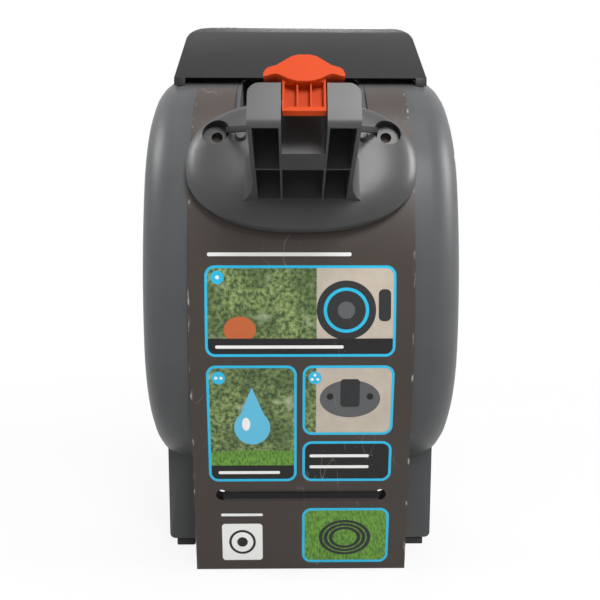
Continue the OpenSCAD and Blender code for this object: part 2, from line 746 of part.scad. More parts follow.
// Pockets that hollow the arm from below: two per prong, and two beside the slot's end
module arm_pockets() {
  inner = fork_gap / 2 + rib_t;
  outer = arm_w / 2 - bracket_wall;
  top = arm_top - bracket_wall;
  rows = [[-arm_reach + bracket_wall, -rib_reach - rib_t / 2], [-rib_reach + rib_t / 2, -plate_dome - 2]];
  for (s = [-1, 1], r = rows) scale([s, 1, 1])
    block([inner, r[0], arm_top - arm_h - arm_drop - cut], [outer, r[1], top]);
  block([-fork_gap / 2, -rib_reach + rib_t / 2, arm_top - arm_h - arm_drop - cut],
    [fork_gap / 2, -plate_dome - 2, top]);
}
stud_x = (arm_w / 2 + tie_slot_x) / 2;
stud_z = 19;
module upper_bracket_form() {
  difference() {
    union() {
      plate(plate_h, screw_rise);
      arm_solid();
      for (s = [-1, 1]) scale([s, 1, 1]) {
        translate([stud_x, -plate_dome + 7, stud_z]) rotate([90, 0, 0]) cylinder(r1 = 7, r2 = 3.5, h = 11);
        x_rod(lug_r, lever_half + run, lever_half + run + lug_t, lug_y, lug_z);
        block([lever_half + run, lug_y - lug_r, arm_top - 1],
          [lever_half + run + lug_t, lug_y + lug_r, lug_z]);
      }
    }
    arm_pockets();
    // Slot of the fork
    block([-fork_gap / 2, -arm_reach - cut, arm_top - arm_h - arm_drop - cut],
      [fork_gap / 2, -arm_reach + slot_depth, arm_top + arm_h]);
    x_rod(lever_pin_r + play, -arm_w, arm_w, lug_y, lug_z);
  }
}
// Puts the upper bracket's own frame on the back of the box
module on_back() {
  reel() translate([0, bracket_y, bracket_z]) rotate([-bracket_tilt, 0, 0]) children();
}
module upper_bracket() {
  color("gray") on_back() upper_bracket_form();
}

// Lock lever: bar over the arm, block in the fork's mouth and a bell-shaped thumb cap
bar_z = arm_top + 3.2;
bar_t = 7;
block_half = fork_gap / 2 - 0.8;
block_low = arm_top - 19.5;
block_in = -arm_reach + 8;
// Outline of the cap's end face: share of the half width, and share of the height above the bar
CAP_TOP = [[0, 1], [0.15, 0.995], [0.3, 0.93], [0.42, 0.8], [0.53, 0.68], [0.69, 0.51], [0.86, 0.43],
  [0.95, 0.34], [1, 0.16]];
CAP_LIP = [[0, -0.19], [0.2, -0.175], [0.4, -0.075], [0.55, 0.055], [0.67, 0.14], [0.8, 0.11], [0.92, 0.03],
  [1, 0.02]];
CAP_STEPS = 16;
function cap_edge(side, from, to) = [for (k = [from : sign(to - from) : to]) let (t = k / CAP_STEPS)
  [t * cap_w / 2, bar_z + cap_h * lookup(abs(t), side)]];
module lock_lever() {
  color("orangered") on_back() difference() {
    union() {
      block([-lever_half, -arm_reach + 1, bar_z], [lever_half, lug_y, bar_z + bar_t]);
      x_rod(lug_r - 0.5, -lever_half, lever_half, lug_y, lug_z);
      block([-block_half, -arm_reach + 1, block_low], [block_half, block_in, bar_z + 1]);
      translate([0, -arm_reach + 11, 0]) rotate([90, 0, 0]) linear_extrude(13) polygon(concat(
        cap_edge(CAP_TOP, -CAP_STEPS, CAP_STEPS), cap_edge(CAP_LIP, CAP_STEPS, -CAP_STEPS)));
    }
    x_rod(lever_pin_r + play, -arm_w, arm_w, lug_y, lug_z);
    // Three pockets in the block's end
    for (k = [-1, 0, 1]) translate([k * (2 * block_half - 2) / 3, -arm_reach + 1, 0])
      block([-block_half / 3 + 0.9, -cut, block_low + 3], [block_half / 3 - 0.9, 5.5, bar_z - 2]);
  }
}
module lever_pin() {
  half = lever_half + run + lug_t;
  color("silver") on_back() x_rod(lever_pin_r, -half, half, lug_y, lug_z);
}

// Lower bracket: the same kind of plate with a plain fork, stored between the legs with its arm forward
low_wall_y = -148.5;
low_plate_z = floor_z + low_lift + low_plate_h / 2;
low_arm_top = -6;
low_arm_h = 22;
module low_arm() {
  difference() {
    block([-arm_w / 2 + 6, -low_reach, low_arm_top - low_arm_h], [arm_w / 2 - 6, -arm_root, low_arm_top]);
    block([-fork_gap / 2, -low_reach - cut, low_arm_top - low_arm_h - cut],
      [fork_gap / 2, -low_reach + fork_depth - fork_gap / 2, low_arm_top + cut]);
    translate([0, -low_reach + fork_depth - fork_gap / 2, low_arm_top - low_arm_h - cut])
      cylinder(r = fork_gap / 2, h = low_arm_h + 2 * cut);
    for (s = [-1, 1]) scale([s, 1, 1])
      block([fork_gap / 2 + bracket_wall, -low_reach + bracket_wall, low_arm_top - low_arm_h - cut],
        [arm_w / 2 - 6 - bracket_wall, -plate_dome - 2, low_arm_top - bracket_wall]);
  }
}
module lower_bracket() {
  color("gray") reel() translate([0, low_wall_y, low_plate_z]) mirror([0, 1, 0]) {
    plate(low_plate_h, low_rise);
    low_arm();
  }
}

// A straight piece of cable tie between two points, its width along z
module strap(a, b, size) {
  hull() {
    translate(a) cube(size, center = true);
    translate(b) cube(size, center = true);
  }
}
tie_across = [tie_t, tie_t, tie_w];
arm_tie_y = -50;
module upper_tie() {
  top_z = arm_top + seam + tie_t / 2;
  side_x = arm_w / 2 + tie_t;
  back_r = corner_r + card_out + plate_lift;
  back_y = back_r - sqrt((corner_r + card_gap / 2)^2 - screw_rise^2);
  turn_y = -plate_dome;
  color([0.05, 0.05, 0.05]) on_back() {
    for (s = [-1, 1]) {
      strap([s * tie_slot_x, back_y, screw_rise], [s * tie_slot_x, turn_y, screw_rise], tie_across);
      strap([s * tie_slot_x, turn_y, screw_rise], [s * side_x, arm_tie_y, top_z], tie_across);
    }
    strap([-side_x, arm_tie_y, top_z], [side_x, arm_tie_y, top_z], [tie_t, tie_w, tie_t]);
    strap([-tie_slot_x, back_y, screw_rise], [tie_slot_x, back_y, screw_rise], tie_across);
  }
}
// Point on the card's sloping lower part, at a height above the floor and a distance out of its back face
slope_y = -corner_y - (corner_r + card_gap) * cos(card_slope);
slope_z = -corner_z - (corner_r + card_gap) * sin(card_slope);
function card_y(h, out) = slope_y + (slope_z - floor_z - h) * tan(card_slope) - out / cos(card_slope);
card_hole_x = screw_span / 2 - 1;
card_hole_r = 4.8;
// The tie's head lies beside the swivel post
tie_head_x = post_r + 12;
module lower_tie() {
  out_y = card_y(low_tie_h, card_t + seam + tie_t);
  in_y = low_wall_y + plate_dome + 2;
  color([0.05, 0.05, 0.05]) reel() translate([0, 0, floor_z + low_tie_h]) {
    strap([-card_hole_x + 2, out_y, 0], [card_hole_x - 2, out_y, 0], tie_across);
    for (s = [-1, 1]) {
      strap([s * (card_hole_x - 2), out_y, 0], [s * tie_slot_x, low_wall_y - 1, 0], tie_across);
      strap([s * tie_slot_x, low_wall_y - 1, 0], [s * tie_slot_x, in_y, 0], tie_across);
    }
    strap([-tie_slot_x, in_y, 0], [tie_slot_x, in_y, 0], tie_across);
    translate([tie_head_x, in_y + tie_t / 2, 0]) block([-4, -0.01, -4], [4, 5, 4]);
  }
}

// Printed card: it follows the back from under the handle, then hangs straight to the floor
CARD_STEPS = 12;
card_lift = 0.6;
CORNER_UP = ARCS[3];
CORNER_LOW = ARCS[5];
// Points at a distance out from an arc, from one angle to another
function card_arc(arc, out, from, to, first, steps) = [for (k = [first : steps])
  on_arc(arc, -out, from + (to - from) * k / steps)];
function card_face(out) = concat(
  card_arc(CORNER_UP, out, 180 - card_top_a, 180 - back_a, 0, CARD_STEPS),
  card_arc(ARCS[4], out, 180 - back_a, 180 + back_a, 1, CARD_STEPS),
  card_arc(CORNER_LOW, out, 180 + back_a, 180 + card_slope, 1, CARD_STEPS / 3),
  [[card_y(card_lift, out - card_gap), floor_z + card_lift]]);
module instruction_card() {
  inner = card_face(card_gap);
  outer = card_face(card_out);
  color([0.4, 0.38, 0.36]) reel() difference() {
    translate([-card_w / 2, 0, 0]) side_on() linear_extrude(card_w)
      polygon(concat(inner, [for (k = [len(outer) - 1 : -1 : 0]) outer[k]]));
    block([-pocket_w / 2 - pocket_t, -half_depth, pocket_rise - pocket_t],
      [pocket_w / 2 + pocket_t, 0, half_height]);
    for (s = [-1, 1]) translate([s * card_hole_x, low_wall_y, floor_z + low_tie_h]) rotate([90, 0, 0])
      cylinder(r = card_hole_r, h = 40);
    translate([0, bracket_y, bracket_z]) rotate([-bracket_tilt, 0, 0]) for (s = [-1, 1])
      block([s * tie_slot_x - 2, -cut, screw_rise - 4], [s * tie_slot_x + 2, 8, screw_rise + 4]);
  }
}

// Axle, with a water way from the inlet to the middle of the drum
axle_end = hub_in + wall / 2 - seam;
module axle() {
  color("silver") reel() difference() {
    x_rod(axle_r, -axle_end, axle_end);
    x_rod(water_r, -axle_end - cut, 20);
    translate([10, 0, 0]) cylinder(r = water_r - 1, h = axle_r + cut);
  }
}
bush_r = axle_r + 4;
module axle_bushes() {
  color("ivory") reel() for (s = [-1, 1]) scale([s, 1, 1]) x_turn()
    polygon([[axle_r + play, flange_x - 16], [bush_r, flange_x - 16], [bush_r, drum_end],
      [axle_r + play, drum_end]]);
}
module drum_core() {
  tube_t = 4;
  hub_t = 4;
  color("dimgray") reel() {
    x_turn() {
      translate([core_r - tube_t, -flange_x]) square([tube_t, wind_w]);
      for (x = [-flange_x, flange_x - 16]) translate([bush_r, x]) square([hub_t, 16]);
      for (x = [-flange_x + hub_t, flange_x - 2 * hub_t]) translate([bush_r, x])
        square([core_r - bush_r - tube_t / 2, hub_t]);
    }
  }
}
// Drum flange on the +X side, with round windows and a stiffening rim
module flange() {
  windows = 6;
  window_r = 22;
  window_at = (core_r + flange_r) / 2;
  difference() {
    x_turn() {
      translate([bush_r, flange_x]) square([flange_r - bush_r, flange_t]);
      translate([flange_r - 4, flange_x]) square([4, flange_t + 3]);
    }
    for (k = [0 : windows - 1]) rotate([360 / windows * (k + 0.5), 0, 0])
      x_rod(window_r, flange_x - cut, drum_end + cut, window_at, 0);
  }
}
module left_flange() {
  color("dimgray") reel() mirror([1, 0, 0]) flange();
}
module right_flange() {
  color("dimgray") reel() flange();
}

// Hose on the drum: inner layers as one plain sleeve, and the outer layer wound over them
LOOP_RINGS = 24;
TUBE_SIDES = 6;
// The straight pieces of the winding's path dip inside its circle by this much
chord_sag = winding_r * (1 - cos(180 / LOOP_RINGS));
module hose_inner_layers() {
  color("darkgray") reel() x_turn()
    translate([core_r + seam, -flange_x + seam])
      square([inner_layers_r - chord_sag - core_r - seam, wind_w - 2 * seam]);
}
winding_w = hose_pitch * hose_turns;
// Centre line: straight for one diameter at each end, wound between
function wind_at(k) = [winding_w * (k / (LOOP_RINGS * hose_turns) - 0.5),
  winding_r * cos(360 * k / LOOP_RINGS), winding_r * sin(360 * k / LOOP_RINGS)];
wind_last = LOOP_RINGS * hose_turns;
function wind_dir(k) = let (d = wind_at(k + 0.01) - wind_at(k - 0.01)) d / norm(d);
WIND_PATH = concat([wind_at(0) - hose_d * wind_dir(0)], [for (k = [0 : wind_last]) wind_at(k)],
  [wind_at(wind_last) + hose_d * wind_dir(wind_last)]);
WIND_DIRS = concat([wind_dir(0)], [for (k = [0 : wind_last]) wind_dir(k)], [wind_dir(wind_last)]);
// Outward direction at a ring, square to the path
WIND_OUT = concat([wind_at(0)], [for (k = [0 : wind_last]) wind_at(k)], [wind_at(wind_last)]);
function ring_pts(i) = let (
    d = WIND_DIRS[i],
    o = [0, WIND_OUT[i][1], WIND_OUT[i][2]],
    u0 = o - (o * d) * d,
    u = u0 / norm(u0),
    v = cross(d, u))
  [for (s = [0 : TUBE_SIDES - 1]) WIND_PATH[i] + hose_d / 2 * (cos(360 * s / TUBE_SIDES) * u
    + sin(360 * s / TUBE_SIDES) * v)];
wind_rings = len(WIND_PATH);
// Least gap between one turn and the next, measured on the tube's own points
WIND_POINTS = [for (i = [0 : wind_rings - 1]) ring_pts(i)];
function turn_gap(i) = min([for (a = WIND_POINTS[i], b = WIND_POINTS[i + LOOP_RINGS]) norm(a - b)]);
wind_gap = min([for (i = [1 : wind_rings - LOOP_RINGS - 2]) turn_gap(i)]);
module hose_winding() {
  sides = TUBE_SIDES;
  faces = concat(
    [for (s = [1 : sides - 2]) [0, s, s + 1]],
    [for (i = [0 : wind_rings - 2], s = [0 : sides - 1]) [i * sides + s, (i + 1) * sides + s,
      i * sides + (s + 1) % sides]],
    [for (i = [0 : wind_rings - 2], s = [0 : sides - 1]) [i * sides + (s + 1) % sides, (i + 1) * sides + s,
      (i + 1) * sides + (s + 1) % sides]],
    [for (s = [1 : sides - 2]) let (b = (wind_rings - 1) * sides) [b, b + s + 1, b + s]]);
  echo(least_gap_between_turns = wind_gap);
  color("darkgray") reel() polyhedron([for (r = WIND_POINTS) each r], faces);
}

// Rewind spring: a case on the drum, the spring in it, and an arbor held by the axle
arbor_r = axle_r + 6;
case_x = drum_end;
module spring_case() {
  case_t = 3;
  color("gray") reel() x_turn() {
    translate([bush_r + 8, case_x]) square([case_r - bush_r - 8, case_t]);
    translate([case_r - case_t, case_x]) square([case_t, case_w]);
  }
}
module spring_cover() {
  cover_t = 2.5;
  color("gray") reel() x_turn() {
    translate([arbor_r + 2, case_x + case_w]) square([case_r - arbor_r - 2, cover_t]);
    translate([case_r - 7, case_x + case_w - 3]) square([4 - seam, 3]);
  }
}
module spring_arbor() {
  color("silver") reel() x_turn() translate([axle_r + seam / 2, case_x + 4])
    square([arbor_r - axle_r - seam / 2, boss_in - seam - case_x - 4]);
}
spring_turns = 6;
SPRING_STEPS = 24;
spring_in = arbor_r + 1;
spring_out = case_r - 3 - 0.8;
module rewind_spring() {
  strip = 1.2;
  n = spring_turns * SPRING_STEPS;
  function spiral(k, r) = (spring_in + strip / 2 + r + (spring_out - spring_in - strip) * k / n)
    * [cos(360 * k / SPRING_STEPS), sin(360 * k / SPRING_STEPS)];
  color("slategray") reel() translate([case_x + 4, 0, 0]) side_on() linear_extrude(case_w - 8)
    polygon(concat([for (k = [0 : n]) spiral(k, -strip / 2)], [for (k = [n : -1 : 0]) spiral(k, strip / 2)]));
}

// Ratchet wheel on the drum's left side, and the pawl that hangs over it
ratchet_x0 = -drum_end - 9;
ratchet_x1 = -drum_end;
tooth_h = 5;
pawl_pin_r = 3;
pawl_y = 34;
pawl_z = ratchet_r + 12;
module ratchet_wheel() {
  step = 360 / ratchet_teeth;
  color("ivory") reel() translate([ratchet_x0, 0, 0]) side_on()
    linear_extrude(ratchet_x1 - ratchet_x0) difference() {
      polygon([for (k = [0 : ratchet_teeth - 1], e = [0, 1])
        (ratchet_r - e * tooth_h) * [cos(step * (k + 0.02 * e)), sin(step * (k + 0.02 * e))]]);
      circle(bush_r + 6);
    }
}
pawl_tip_r = ratchet_r + 1;
module pawl() {
  tip_a = 92;
  tip = pawl_tip_r * [cos(tip_a), sin(tip_a)];
  color("orange") reel() difference() {
    union() {
      x_rod(8, ratchet_x0 + 1, ratchet_x1 - 1, pawl_y, pawl_z);
      translate([ratchet_x0 + 1, 0, 0]) side_on() linear_extrude(ratchet_x1 - ratchet_x0 - 2)
        polygon([[pawl_y - 2, pawl_z + 7.5], [tip[0] + 2, tip[1] + 9], tip, [tip[0] + 12, tip[1] + 2],
          [pawl_y - 5, pawl_z - 6]]);
    }
    x_rod(pawl_pin_r + play, ratchet_x0 - cut, ratchet_x1 + cut, pawl_y, pawl_z);
  }
}
module pawl_pin() {
  color("silver") reel() {
    x_rod(pawl_pin_r, -hub_in - wall / 2 + seam, ratchet_x1 - 0.5, pawl_y, pawl_z);
    x_rod(6, -hub_in + seam, ratchet_x0 + 0.5, pawl_y, pawl_z);
  }
}

// Belt drive from the drum to the guide screw
belt_x0 = ratchet_x0 - 8;
belt_w = 6;
belt_t = 1.6;
belt_gap = 0.3;
module pulley(r, bore) {
  x_turn() {
    translate([bore, belt_x0]) square([r - bore, belt_w + 2]);
    for (x = [belt_x0, belt_x0 + belt_w + 1]) translate([bore, x]) square([r + 2.5 - bore, 1]);
  }
}
module drum_pulley() {
  color("ivory") reel() pulley(pulley_r, bush_r + 1);
}
module guide_pulley() {
  color("ivory") reel() translate([0, screw_y, screw_z]) pulley(guide_pulley_r, guide_screw_r + seam / 2);
}
// Outline of a loop round both pulleys, at a distance from their faces
LOOP_STEPS = 20;
belt_lean = asin((pulley_r - guide_pulley_r) / guide_r);
function loop_arc(c, r, start, sweep) = [for (k = [0 : LOOP_STEPS])
  c + r * [cos(start + sweep * k / LOOP_STEPS), sin(start + sweep * k / LOOP_STEPS)]];
function loop(out) = concat(
  loop_arc([screw_y, screw_z], guide_pulley_r + out, -screw_a - 90 + belt_lean, 180 - 2 * belt_lean),
  loop_arc([0, 0], pulley_r + out, -screw_a + 90 - belt_lean, 180 + 2 * belt_lean));
module guide_belt() {
  color([0.1, 0.1, 0.1]) reel() translate([belt_x0 + 1.5, 0, 0]) side_on()
    linear_extrude(belt_w - 1) difference() {
      polygon(loop(belt_gap + belt_t));
      polygon(loop(belt_gap));
    }
}

// Level-wind guide: screw, rod, and the carriage that leads the hose to the outlet
module guide_screw() {
  groove = 0.8;
  pitch = 12;
  color("silver") reel() difference() {
    x_rod(guide_screw_r, -guide_end - 14, guide_end + 14, screw_y, screw_z);
    for (k = [-6 : 6]) translate([k * pitch, screw_y, screw_z]) rotate([0, 90, 0]) rotate_extrude()
      translate([guide_screw_r, 0]) circle(groove, $fn = 24);
  }
}
module guide_rod() {
  color("silver") reel() x_rod(guide_rod_r, -guide_end - 14, guide_end + 14, rod_y, rod_z);
}
eye_s = 128;
eye_r = hose_d / 2 + 0.3;
eye_l = 21;
eye_y = lead_start[0] + eye_s * cos(hose_slope);
eye_z = lead_start[1] + eye_s * sin(hose_slope);
// Runs a shape along the hose's lead: local z follows the lead from a distance s along it
module on_lead(s) {
  translate([0, lead_start[0] + s * cos(hose_slope), lead_start[1] + s * sin(hose_slope)])
    rotate([hose_slope - 90, 0, 0]) children();
}
module guide_carriage() {
  half = carriage_w / 2;
  color("orange") reel() difference() {
    union() {
      x_rod(guide_screw_r + 4, -half, half, screw_y, screw_z);
      x_rod(guide_rod_r + 4, -half, half, rod_y, rod_z);
      translate([-half, 0, 0]) side_on() linear_extrude(carriage_w)
        polygon([[screw_y - 8, screw_z], [screw_y + 8, screw_z], [eye_y + 14, eye_z + 4],
          [eye_y - 6, eye_z]]);
      on_lead(eye_s - 10) cylinder(r = eye_r + 4, h = eye_l);
    }
    x_rod(guide_screw_r + play, -half - cut, half + cut, screw_y, screw_z);
    x_rod(guide_rod_r + play, -half - cut, half + cut, rod_y, rod_z);
    on_lead(eye_s - 40) cylinder(r = eye_r, h = 80);
  }
}
module hose_end() {
  color("darkgray") reel() on_lead(0) cylinder(r = hose_d / 2, h = lead_l);
}
module hose_stop() {
  color("orange") reel() on_lead(lead_l) rotate_extrude()
    polygon([[0, 0], [stop_r - 3, 0], [stop_r, 3], [stop_r, stop_l - 5], [connector_r, stop_l], [0, stop_l]]);
}
module end_connector() {
  color("darkslategray") reel() on_lead(lead_l + stop_l) difference() {
    rotate_extrude() polygon([[0, 0], [connector_r, 0], [connector_r, 15], [connector_r - 1.5, 17],
      [connector_r - 1.5, 24], [connector_r, 26], [connector_r, connector_l], [0, connector_l]]);
    translate([0, 0, connector_l - 16]) cylinder(r = 8.7, h = 20);
  }
}
// Frame round the hose outlet
module outlet_bezel() {
  rim = 6;
  proud = 2.5;
  color([0.15, 0.15, 0.15]) reel() difference() {
    union() {
      intersection() {
        outline_ring(-proud, wall + 4, outlet_w / 2);
        outlet_block(seam, 20);
      }
      intersection() {
        outline_ring(-proud, -seam, outlet_w / 2 + rim);
        outlet_block(-rim, 20);
      }
    }
    outlet_block(4, 20 + cut);
  }
}

// Front lid over the accessory tray, hung from a pin at its top edge
latch_half = 14;
latch_h = 8;
latch_travel = 5;
latch_low = lid_foot + 5;
module front_panel(inset0, inset1, half, z0, z1) {
  intersection() {
    outline_ring(inset0, inset1, half);
    block([-half, hinge_y - 40, z0], [half, half_depth + 10, z1]);
  }
}
module front_lid() {
  half = lid_w / 2;
  color("dimgray") reel() difference() {
    union() {
      front_panel(0, wall, half, lid_foot, hinge_rise - 1);
      x_rod(hinge_r, -half, half, hinge_y, hinge_rise);
    }
    x_rod(lid_pin_r + play, -half - cut, half + cut, hinge_y, hinge_rise);
    block([-latch_half - run, half_depth - 20, latch_low - run],
      [latch_half + run, half_depth + 10, latch_low + latch_h + latch_travel + run]);
  }
}
module lid_pin() {
  color("silver") reel() x_rod(lid_pin_r, -lid_pin_end, lid_pin_end, hinge_y, hinge_rise);
}
// Sliding latch that grips the lid's window from both sides
module lid_latch() {
  plate_t = 2;
  gap = 0.6;
  color("orange") reel() {
    front_panel(-gap - plate_t, -gap, latch_half + 4, latch_low - 3, latch_low + latch_h + 3);
    front_panel(-gap - plate_t / 2, wall + gap + plate_t / 2, latch_half, latch_low, latch_low + latch_h);
    front_panel(wall + gap, wall + gap + plate_t, latch_half + 4, latch_low - 3, latch_low + latch_h + 3);
  }
}
module accessory_tray() {
  t = 2;
  half = lid_w / 2 + 6;
  back = half_depth - wall - seam - tray_depth;
  color("gray") reel() intersection() {
    outline_slab(wall + seam, -half, half);
    difference() {
      block([-half, back, lid_foot - 8], [half, half_depth, hinge_rise - 14]);
      block([-half + t, back + t, lid_foot - 8 + t], [half - t, half_depth + cut, hinge_rise - 14 - t]);
    }
  }
}

// Water inlet in the middle of the left side, with its seals
inlet_r = 8.5;
inlet_flange_r = 16;
inlet_bore_r = water_r - 3;
seal_r = 0.75;
seal_at = water_r - play - seal_r;
SEALS = [hub_in - 4, hub_in - 9];
module inlet_fitting() {
  color("silver") reel() mirror([1, 0, 0]) x_turn() difference() {
    union() {
      translate([inlet_bore_r, hub_in + wall / 2]) square([inlet_flange_r - inlet_bore_r, wall / 2 + 2]);
      translate([inlet_bore_r, hub_in + wall / 2])
        square([inlet_r - inlet_bore_r, half_w - hub_in - wall / 2 - 0.5]);
      translate([inlet_bore_r, boss_in]) square([water_r - play - inlet_bore_r, hub_in + wall - boss_in]);
    }
    for (x = SEALS) translate([seal_at - seal_r - play, x - seal_r - play]) square(2 * seal_r + 4 * play);
  }
}
module inlet_seals() {
  color("black") reel() for (x = SEALS) mirror([1, 0, 0]) translate([x, 0, 0])
    rotate([0, 90, 0]) rotate_extrude() translate([seal_at, 0]) circle(seal_r, $fn = 24);
}

left_shell();
right_shell();
left_side_cover();
right_side_cover();
left_trim_ring();
right_trim_ring();
handle();
swivel_pocket();
swivel_pin();
lower_swivel_post();
foot_pads();
housing_screws();
handle_screws();
upper_bracket();
lock_lever();
lever_pin();
lower_bracket();
upper_tie();
lower_tie();
instruction_card();
axle();
axle_bushes();
drum_core();
left_flange();
right_flange();
hose_inner_layers();
hose_winding();
spring_case();
spring_cover();
spring_arbor();
rewind_spring();
ratchet_wheel();
pawl();
pawl_pin();
drum_pulley();
guide_belt();
guide_pulley();
guide_screw();
guide_rod();
guide_carriage();
hose_end();
hose_stop();
end_connector();
outlet_bezel();
front_lid();
lid_pin();
lid_latch();
accessory_tray();
inlet_fitting();
inlet_seals();
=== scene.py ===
"""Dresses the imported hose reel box: finishes, softened edges, wound hose, studio and camera."""
import logging
import math
from dataclasses import dataclass
from enum import Enum
from functools import lru_cache
from typing import Any, Dict, List, Optional, Sequence, Tuple, Union

import bmesh
import bpy
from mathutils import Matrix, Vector


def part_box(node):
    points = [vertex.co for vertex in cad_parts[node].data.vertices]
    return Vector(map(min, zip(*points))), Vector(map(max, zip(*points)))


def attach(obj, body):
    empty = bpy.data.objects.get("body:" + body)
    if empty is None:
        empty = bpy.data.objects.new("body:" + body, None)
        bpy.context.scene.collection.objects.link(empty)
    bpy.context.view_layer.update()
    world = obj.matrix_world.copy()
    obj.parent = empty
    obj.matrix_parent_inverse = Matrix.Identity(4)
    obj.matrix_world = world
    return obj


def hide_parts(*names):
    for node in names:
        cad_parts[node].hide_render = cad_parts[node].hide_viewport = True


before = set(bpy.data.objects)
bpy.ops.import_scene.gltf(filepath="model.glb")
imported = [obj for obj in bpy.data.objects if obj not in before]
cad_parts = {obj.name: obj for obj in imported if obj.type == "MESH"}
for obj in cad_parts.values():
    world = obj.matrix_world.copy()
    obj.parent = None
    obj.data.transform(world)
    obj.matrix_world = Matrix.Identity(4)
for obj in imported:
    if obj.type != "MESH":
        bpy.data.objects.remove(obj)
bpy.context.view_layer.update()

LOG = logging.getLogger("hose_reel_box")
MM = 0.001
MM_PER_M = 1000.0
JOIN_GAP_M = 1e-5
FULL_TURN = 2 * math.pi
Colour = Tuple[float, float, float]
Pair = Tuple[float, float]
Triple = Tuple[float, float, float]
Number = Union[float, "Wire"]
PURE_WHITE: Colour = (1.0, 1.0, 1.0)
PRINT_SOFT_MM = 0.2
LINE_SOFT_MM = 0.25


def rgba(colour: Colour) -> Tuple[float, float, float, float]:
    """Adds an opaque alpha to a colour."""
    return (*colour, 1.0)


def shade(colour: Colour, by: float) -> Colour:
    """Makes a colour lighter or darker by a factor."""
    return tuple(min(c * by, 1.0) for c in colour)


def reel_axis() -> Vector:
    """Gives the middle of the reel's axle, in millimetres."""
    low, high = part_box("axle")
    return (Vector(low) + Vector(high)) / (2 * MM)


class Wire:
    """One output of a node, on which Python's operators add Math nodes."""

    def __init__(self, graph: "Graph", socket: Any) -> None:
        """Keeps the graph that the socket is in."""
        self.graph = graph
        self.socket = socket

    def out(self, name: str) -> "Wire":
        """Gives another output of the same node."""
        return Wire(self.graph, self.socket.node.outputs[name])

    def math(self, operation: str, *values: Number) -> "Wire":
        """Adds one Math node on the values, in their order."""
        return self.graph.node("ShaderNodeMath", {"operation": operation}, dict(enumerate(values)))

    def __add__(self, other: Number) -> "Wire":
        """Adds."""
        return self.math("ADD", self, other)

    def __radd__(self, other: Number) -> "Wire":
        """Adds to a number."""
        return self.math("ADD", other, self)

    def __sub__(self, other: Number) -> "Wire":
        """Subtracts."""
        return self.math("SUBTRACT", self, other)

    def __rsub__(self, other: Number) -> "Wire":
        """Subtracts from a number."""
        return self.math("SUBTRACT", other, self)

    def __mul__(self, other: Number) -> "Wire":
        """Multiplies."""
        return self.math("MULTIPLY", self, other)

    def __rmul__(self, other: Number) -> "Wire":
        """Multiplies a number."""
        return self.math("MULTIPLY", other, self)

    def __abs__(self) -> "Wire":
        """Drops the sign."""
        return self.math("ABSOLUTE", self)

    def least(self, other: Number) -> "Wire":
        """Gives the smaller of two values."""
        return self.math("MINIMUM", self, other)

    def most(self, other: Number) -> "Wire":
        """Gives the larger of two values."""
        return self.math("MAXIMUM", self, other)

    def root(self) -> "Wire":
        """Gives the square root."""
        return self.math("SQRT", self)

    def wave(self) -> "Wire":
        """Gives the sine."""
        return self.math("SINE", self)

    def step(self, low: float, high: float) -> "Wire":
        """Rises smoothly from 0 at low to 1 at high, or falls where high is the lower.

        Args:
            low: Value at which the result is 0.
            high: Value at which the result is 1.

        Returns:
            The eased value.
        """
        if low > high:
            return 1 - self.step(high, low)
        return self.graph.node(
            "ShaderNodeMapRange", {"interpolation_type": "SMOOTHSTEP"},
            {"Value": self, "From Min": low, "From Max": high})

    def above(self, level: Number, soft: float) -> "Wire":
        """Gives 1 above a level and 0 below it, eased over soft on either side."""
        return (self - level).step(-soft, soft)

    def below(self, level: Number, soft: float) -> "Wire":
        """Gives 1 below a level and 0 above it, eased over soft on either side."""
        return (self - level).step(soft, -soft)


